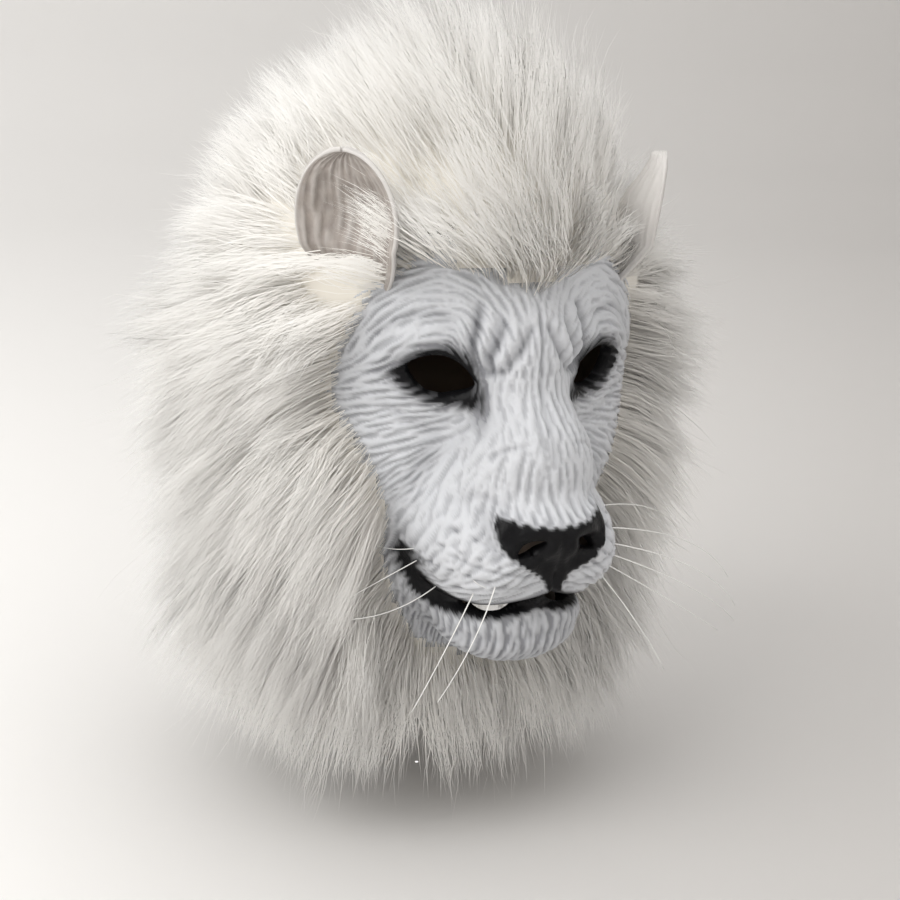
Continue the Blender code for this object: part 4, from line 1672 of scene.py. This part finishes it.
    def blades(self, coat: Coat, lines: Array, normals: Array, chance: np.random.Generator) -> dict[str, Array]:
        """Gives each hair a narrow tapered blade.

        Args:
            coat: What kind of hair it is.
            lines: Hairs.
            normals: The skin's directions at their roots.
            chance: Seeded source of numbers.

        Returns:
            Points, quads, triangles, tones and shading directions.
        """
        along = unit(np.gradient(lines, axis=1))
        centre = np.array([0, 0.01, -0.13])
        outward = unit(unit(lines - centre) * 0.7 + normals[:, None] * 0.5)
        across = unit(np.cross(along, outward))
        other = np.cross(along, across)
        turn = np.clip(chance.normal(0, 0.6, len(lines)), -1.0, 1.0)[:, None, None]
        blade = across * np.cos(turn) + other * np.sin(turn)
        share = np.linspace(0, 1, coat.points)[None, :, None]
        width = coat.width * chance.uniform(0.55, 1.25, len(lines))[:, None, None]
        half = blade * width * (0.75 + 0.5 * share) * (1 - share) ** 0.6 / 2
        left, right = lines - half, lines + half
        body = np.stack([left[:, :-1], right[:, :-1]], axis=2).reshape(len(lines), -1, 3)
        points = np.concatenate([body, lines[:, -1:]], axis=1)
        each = points.shape[1]
        steps = coat.points - 2
        first = np.arange(steps) * 2
        quad = np.stack([first, first + 1, first + 3, first + 2], axis=1)
        base = (np.arange(len(lines)) * each)[:, None, None]
        tip = np.array([[each - 3, each - 2, each - 1]])
        own = np.clip(chance.normal(0.0, 0.05, len(lines)), -0.12, 0.12)[:, None]
        # Tone rises from root to tip; the darker root is painted shade deep in the pile
        tone = np.concatenate([np.repeat(share[0, :-1, 0], 2), [1.0]])[None]
        tone = np.clip(0.30 + 0.78 * (tone * coat.length) ** 0.6 + own, 0, 1)
        facing = np.cross(blade, along)
        shading = unit(outward * self.softness + facing * (1 - self.softness))
        shading = np.concatenate([np.repeat(shading[:, :-1], 2, axis=1), shading[:, -1:]], axis=1)
        return {"points": points.reshape(-1, 3), "quads": (base + quad[None]).reshape(-1, 4),
                "triangles": (base + tip[None]).reshape(-1, 3), "tone": tone.ravel(),
                "shading": shading.reshape(-1, 3)}

    def region(self, roots: Array) -> Array:
        """Which panel each root belongs to."""
        azimuth = np.degrees(np.arctan2(roots[:, 0], -roots[:, 1]))
        front = np.abs(azimuth) < self.side_seam
        panel = np.where(azimuth > 0, np.where(front, 2, 4), np.where(front, 1, 3))
        return np.where(-roots[:, 2] < self.crown_seam, 0, panel)

    def build(self) -> list[bpy.types.Object]:
        """Makes the backing and the mane's panels.

        Returns:
            The finished objects.
        """
        self.scalp()
        made = [self.build_backing()]
        grown = self.grow()
        material = self.pile.material()
        for index, region in enumerate(Region):
            chance = np.random.default_rng(self.seed + index + 1)
            parts = []
            for coat, lines, normals in grown:
                part = self.region(lines[:, 0]) == index
                parts.append(self.blades(coat, lines[part], normals[part], chance))
            starts = np.cumsum([0] + [len(part["points"]) for part in parts])
            quads = np.vstack([part["quads"] + start for part, start in zip(parts, starts)])
            triangles = np.vstack([part["triangles"] + start for part, start in zip(parts, starts)])
            piece = array_mesh(region.value, np.vstack([part["points"] for part in parts]), quads, triangles)
            store(piece, "tone", np.concatenate([part["tone"] for part in parts]))
            settle(piece, "mane", material)
            piece.data.normals_split_custom_set_from_vertices(np.vstack([part["shading"] for part in parts]))
            made.append(piece)
        return made

    def build_backing(self) -> bpy.types.Object:
        """Makes the dense underfur and the cloth that it is knitted into.

        Returns:
            The finished object.
        """
        points, quads, fan = self.form.dome(SCALP_COLUMNS)
        normals = self.skin["normals"]
        gap = self.window.gap(points)
        quads = quads[(gap[quads] > 0).all(axis=1)]
        fan = fan[(gap[fan] > 0).all(axis=1)]
        chance = np.random.default_rng(self.seed)
        lift = self.backing * smooth_step(gap, 0.003, 0.018) * (0.75 + 0.25 * chance.random(len(points)))
        for ear in self.ears:
            width, height = ear.local(points)[:2]
            sunk = smooth_step(height, 0.000, 0.012) * smooth_step(gap, 0.010, 0.016)
            sunk *= smooth_step(np.abs(width), ear.width * 0.65, ear.width * 0.35)
            sunk *= smooth_step(np.linalg.norm(points - ear.frame()[0], axis=1), self.ear_clear, 0.038)
            lift = lift * (1 - sunk) - self.pit * sunk
        outside = points + normals * (lift + self.cloth[1])[:, None]
        piece = shell_mesh("mane_backing", outside, points + normals * self.cloth[0], quads, fan)
        store(piece, "tone", np.full(2 * len(points), self.backing_tone))
        settle(piece, "mane", self.backing_pile.material())
        return piece


# Whiskers


@dataclass(frozen=True)
class Whisker:
    """One whisker: its side, where it is rooted and how far it reaches, in millimetres."""

    side: int
    across: float
    depth: float
    reach: tuple[float, float, float]
    thickness: float


WHISKERS = (
    Whisker(-1, 46.5, 194, (-12, 12, -1), 0.26),
    Whisker(-1, 45, 199.5, (-32, 10, -19), 0.30),
    Whisker(-1, 37, 211, (-42, -4, -8), 0.30),
    Whisker(-1, 32.5, 205, (-35, -15, -43), 0.34),
    Whisker(-1, 27, 199, (-33, -14, -42), 0.34),
    Whisker(-1, 36.5, 196.5, (11, -6, -6), 0.24),
    Whisker(1, 40, 185, (92, 30, -47), 0.32),
    Whisker(1, 37, 190, (91, 25, -52), 0.32),
    Whisker(1, 36, 195, (87, 20, -52), 0.30),
    Whisker(1, 34, 200, (75, 15, -48), 0.30),
    Whisker(1, 42, 178, (67, 30, -33), 0.28),
    Whisker(1, 30, 204, (30, -10, -46), 0.30),
)


@dataclass
class Whiskers:
    """Thin nylon whiskers set in the whisker pits."""

    form: HeadForm
    steps: int = 14
    sides: int = 6
    sunk: float = 0.002
    taper: float = 0.6
    bristle: Bristle = Bristle()

    def build(self) -> bpy.types.Object:
        """Makes every whisker as one piece.

        Returns:
            The finished object.
        """
        points, quads, triangles = [], [], []
        for whisker in WHISKERS:
            root = self.form.front(whisker.side * whisker.across / 1000, whisker.depth / 1000)
            normal = self.form.normals(root[None])[0]
            way = np.array(whisker.reach) / 1000
            bend = root + normal * np.linalg.norm(way) * 0.25 + way * 0.3
            share = np.linspace(0, 1, self.steps)[:, None]
            line = (1 - share) ** 2 * (root - normal * self.sunk) + 2 * share * (1 - share) * bend
            line = line + share**2 * (root + way)
            base = sum(len(part) for part in points)
            ring, faces, cap = self.tube(line, whisker.thickness / 1000)
            points.append(ring)
            quads.append(faces + base)
            triangles.append(cap + base)
        piece = array_mesh("whiskers", np.vstack(points), np.vstack(quads), np.vstack(triangles))
        settle(piece, "", self.bristle.material())
        return piece

    def tube(self, line: Array, radius: float) -> tuple[Array, Array, Array]:
        """Makes a tapered tube that closes at both ends.

        Args:
            line: Points that it follows.
            radius: Half its thickness at the root.

        Returns:
            Points, quads and end triangles.
        """
        along = unit(np.gradient(line, axis=0))
        across = unit(np.cross(along, np.array([0.3, 0.2, 1.0])))
        other = np.cross(along, across)
        turn = np.arange(self.sides) / self.sides * 2 * math.pi
        size = radius * (1 - self.taper * np.linspace(0, 1, len(line)))
        circle = across[:, None] * np.cos(turn)[None, :, None] + other[:, None] * np.sin(turn)[None, :, None]
        rings = line[:, None] + circle * size[:, None, None]
        points = np.vstack([rings.reshape(-1, 3), line[:1], line[-1:]])
        quads = ring_quads(len(line), self.sides)[:, ::-1]
        step = np.arange(self.sides)
        beside = (step + 1) % self.sides
        last = (len(line) - 1) * self.sides
        start_cap = np.stack([np.full(self.sides, last + self.sides), beside, step], axis=1)
        end_cap = np.stack([np.full(self.sides, last + self.sides + 1), last + step, last + beside], axis=1)
        return points, quads, np.vstack([start_cap, end_cap])


# The room


@dataclass(frozen=True)
class Lamp:
    """One square soft light."""

    name: str
    where: tuple[float, float, float]
    aim: tuple[float, float, float]
    size: float
    power: float
    colour: tuple[float, float, float]


LAMPS = (
    Lamp("key", (-1.3, -1.1, 1.5), (0, 0, 0.25), 1.6, 28, (1.0, 0.99, 0.97)),
    Lamp("fill", (1.6, -1.0, 0.8), (0, 0, 0.2), 1.8, 2, (1.0, 0.98, 0.96)),
)
# How far out the paper has come, and how high it has risen there
PAPER_PROFILE = (
    (0.001, 0), (0.4, 0), (0.9, 0), (1.8, 0), (3.0, 0), (3.8, 0.12), (4.4, 0.45), (4.8, 1.0), (5.0, 1.8), (5.0, 4.5),
)


@dataclass
class Studio:
    """A pale seamless floor, painted lighter at the left and shaded at the right, soft light from the upper left, and
    the camera.
    """

    floor_depth: float = 0.352
    yaw: float = math.radians(25)
    lean: float = math.radians(4.4)
    lift: float = 0.306
    camera_place: tuple[float, float, float] = (0.00065, -0.67556, 0.333)
    camera_pitch: float = math.radians(16.8)
    camera_roll: float = math.radians(-2.3)
    focal_pixels: float = 1360.0
    paper_lit: tuple[float, float, float] = (0.86, 0.85, 0.835)
    paper_shaded: tuple[float, float, float] = (0.58, 0.565, 0.55)
    frame_pixels: float = 900.0
    sensor_width: float = 36.0
    paper_columns: int = 96
    paper_behind: float = 0.8
    glow: tuple[float, float, float, float] = (1.0, 0.99, 0.98, 1)
    glow_strength: float = 1.12

    def place(self) -> Matrix:
        """How the mask stands in front of the camera."""
        turn = Matrix.Rotation(self.yaw, 4, "Z") @ Matrix.Rotation(self.lean, 4, "Y")
        return Matrix.Translation((0, 0, self.lift)) @ turn

    def build_camera(self) -> None:
        """Puts the camera at the photograph's viewing angle."""
        lens = bpy.data.cameras.new("camera")
        lens.sensor_width = self.sensor_width
        lens.lens = self.focal_pixels / self.frame_pixels * self.sensor_width
        lens.clip_start = 0.05
        camera = bpy.data.objects.new("camera", lens)
        bpy.context.collection.objects.link(camera)
        level = Matrix.Rotation(math.pi / 2 - self.camera_pitch, 4, "X")
        roll = Matrix.Rotation(self.camera_roll, 4, "Z")
        world = Matrix.Translation(self.camera_place) @ level @ roll
        camera.matrix_world = self.place().inverted() @ world
        bpy.context.scene.camera = camera

    def build_floor(self) -> None:
        """Turns a seamless floor up into a round wall far behind the mask."""
        turns = self.paper_columns
        reach, rise = np.array(PAPER_PROFILE).T
        angle = np.arange(turns) / turns * 2 * math.pi
        circle = np.stack([np.cos(angle), np.sin(angle), np.zeros(turns)], axis=1)
        points = (circle[None] * reach[:, None, None]).reshape(-1, 3)
        points[:, 2] = np.repeat(rise, turns) - self.floor_depth
        quads = ring_quads(len(reach), turns)
        floor = array_mesh("floor", points, quads)
        floor.data.shade_smooth()
        sheet = NodeSheet("floor_paper")
        mapping = sheet.node("ShaderNodeMapping")
        mapping.inputs["Rotation"].default_value = (0, 0, self.yaw)
        sheet.join(sheet.node("ShaderNodeTexCoord").outputs["Object"], mapping.inputs["Vector"])
        parts = sheet.node("ShaderNodeSeparateXYZ")
        sheet.join(mapping.outputs["Vector"], parts.inputs["Vector"])
        # Painted light and shade: the paper's colour runs from its lit tone at the left to its shaded tone at the right
        ahead = sheet.math("ADD", parts.outputs["Y"], self.paper_behind)
        shade = sheet.ramp(sheet.math("DIVIDE", parts.outputs["X"], ahead), -0.30, 0.32)
        sheet.paint(shade, self.paper_lit, self.paper_shaded)
        sheet.shader.inputs["Roughness"].default_value = 0.9
        floor.data.materials.append(sheet.material)

    def build_light(self) -> None:
        """Hangs a large soft light at the upper left, a weak one at the right and an even glow."""
        place = self.place().inverted()
        for lamp in LAMPS:
            light = bpy.data.lights.new(lamp.name, "AREA")
            light.shape = "SQUARE"
            light.size = lamp.size
            light.energy = lamp.power
            light.color = lamp.colour
            hung = bpy.data.objects.new(lamp.name, light)
            bpy.context.collection.objects.link(hung)
            turn = (Vector(lamp.aim) - Vector(lamp.where)).to_track_quat("-Z", "Y").to_matrix().to_4x4()
            hung.matrix_world = place @ Matrix.Translation(lamp.where) @ turn
            hung.visible_camera = False
        world = bpy.data.worlds.new("studio")
        world.use_nodes = True
        glow = world.node_tree.nodes["Background"]
        glow.inputs["Color"].default_value = self.glow
        glow.inputs["Strength"].default_value = self.glow_strength
        bpy.context.scene.world = world
        bpy.context.scene.view_settings.view_transform = "Standard"

    def build(self) -> None:
        """Makes the whole room."""
        self.build_camera()
        self.build_floor()
        self.build_light()


def main() -> None:
    """Builds the mask piece by piece, then the room."""
    logging.basicConfig(level=logging.INFO, format="%(message)s", stream=sys.stdout)
    deselect_all()
    form = HeadForm()
    window = Window()
    openings = FaceOpenings(form).build()
    ears = [CuppedEar(form, side, name) for side, name in ((1, "ear_left"), (-1, "ear_right"))]
    CarvedFace(form, openings, window).build()
    LatexHood(form, FaceOpenings(form, HOOD_MARGIN).build()).build()
    for ear in ears:
        ear.build()
    Mane(form, window, ears).build()
    Whiskers(form).build()
    Studio().build()


if __name__ == "__main__":
    main()
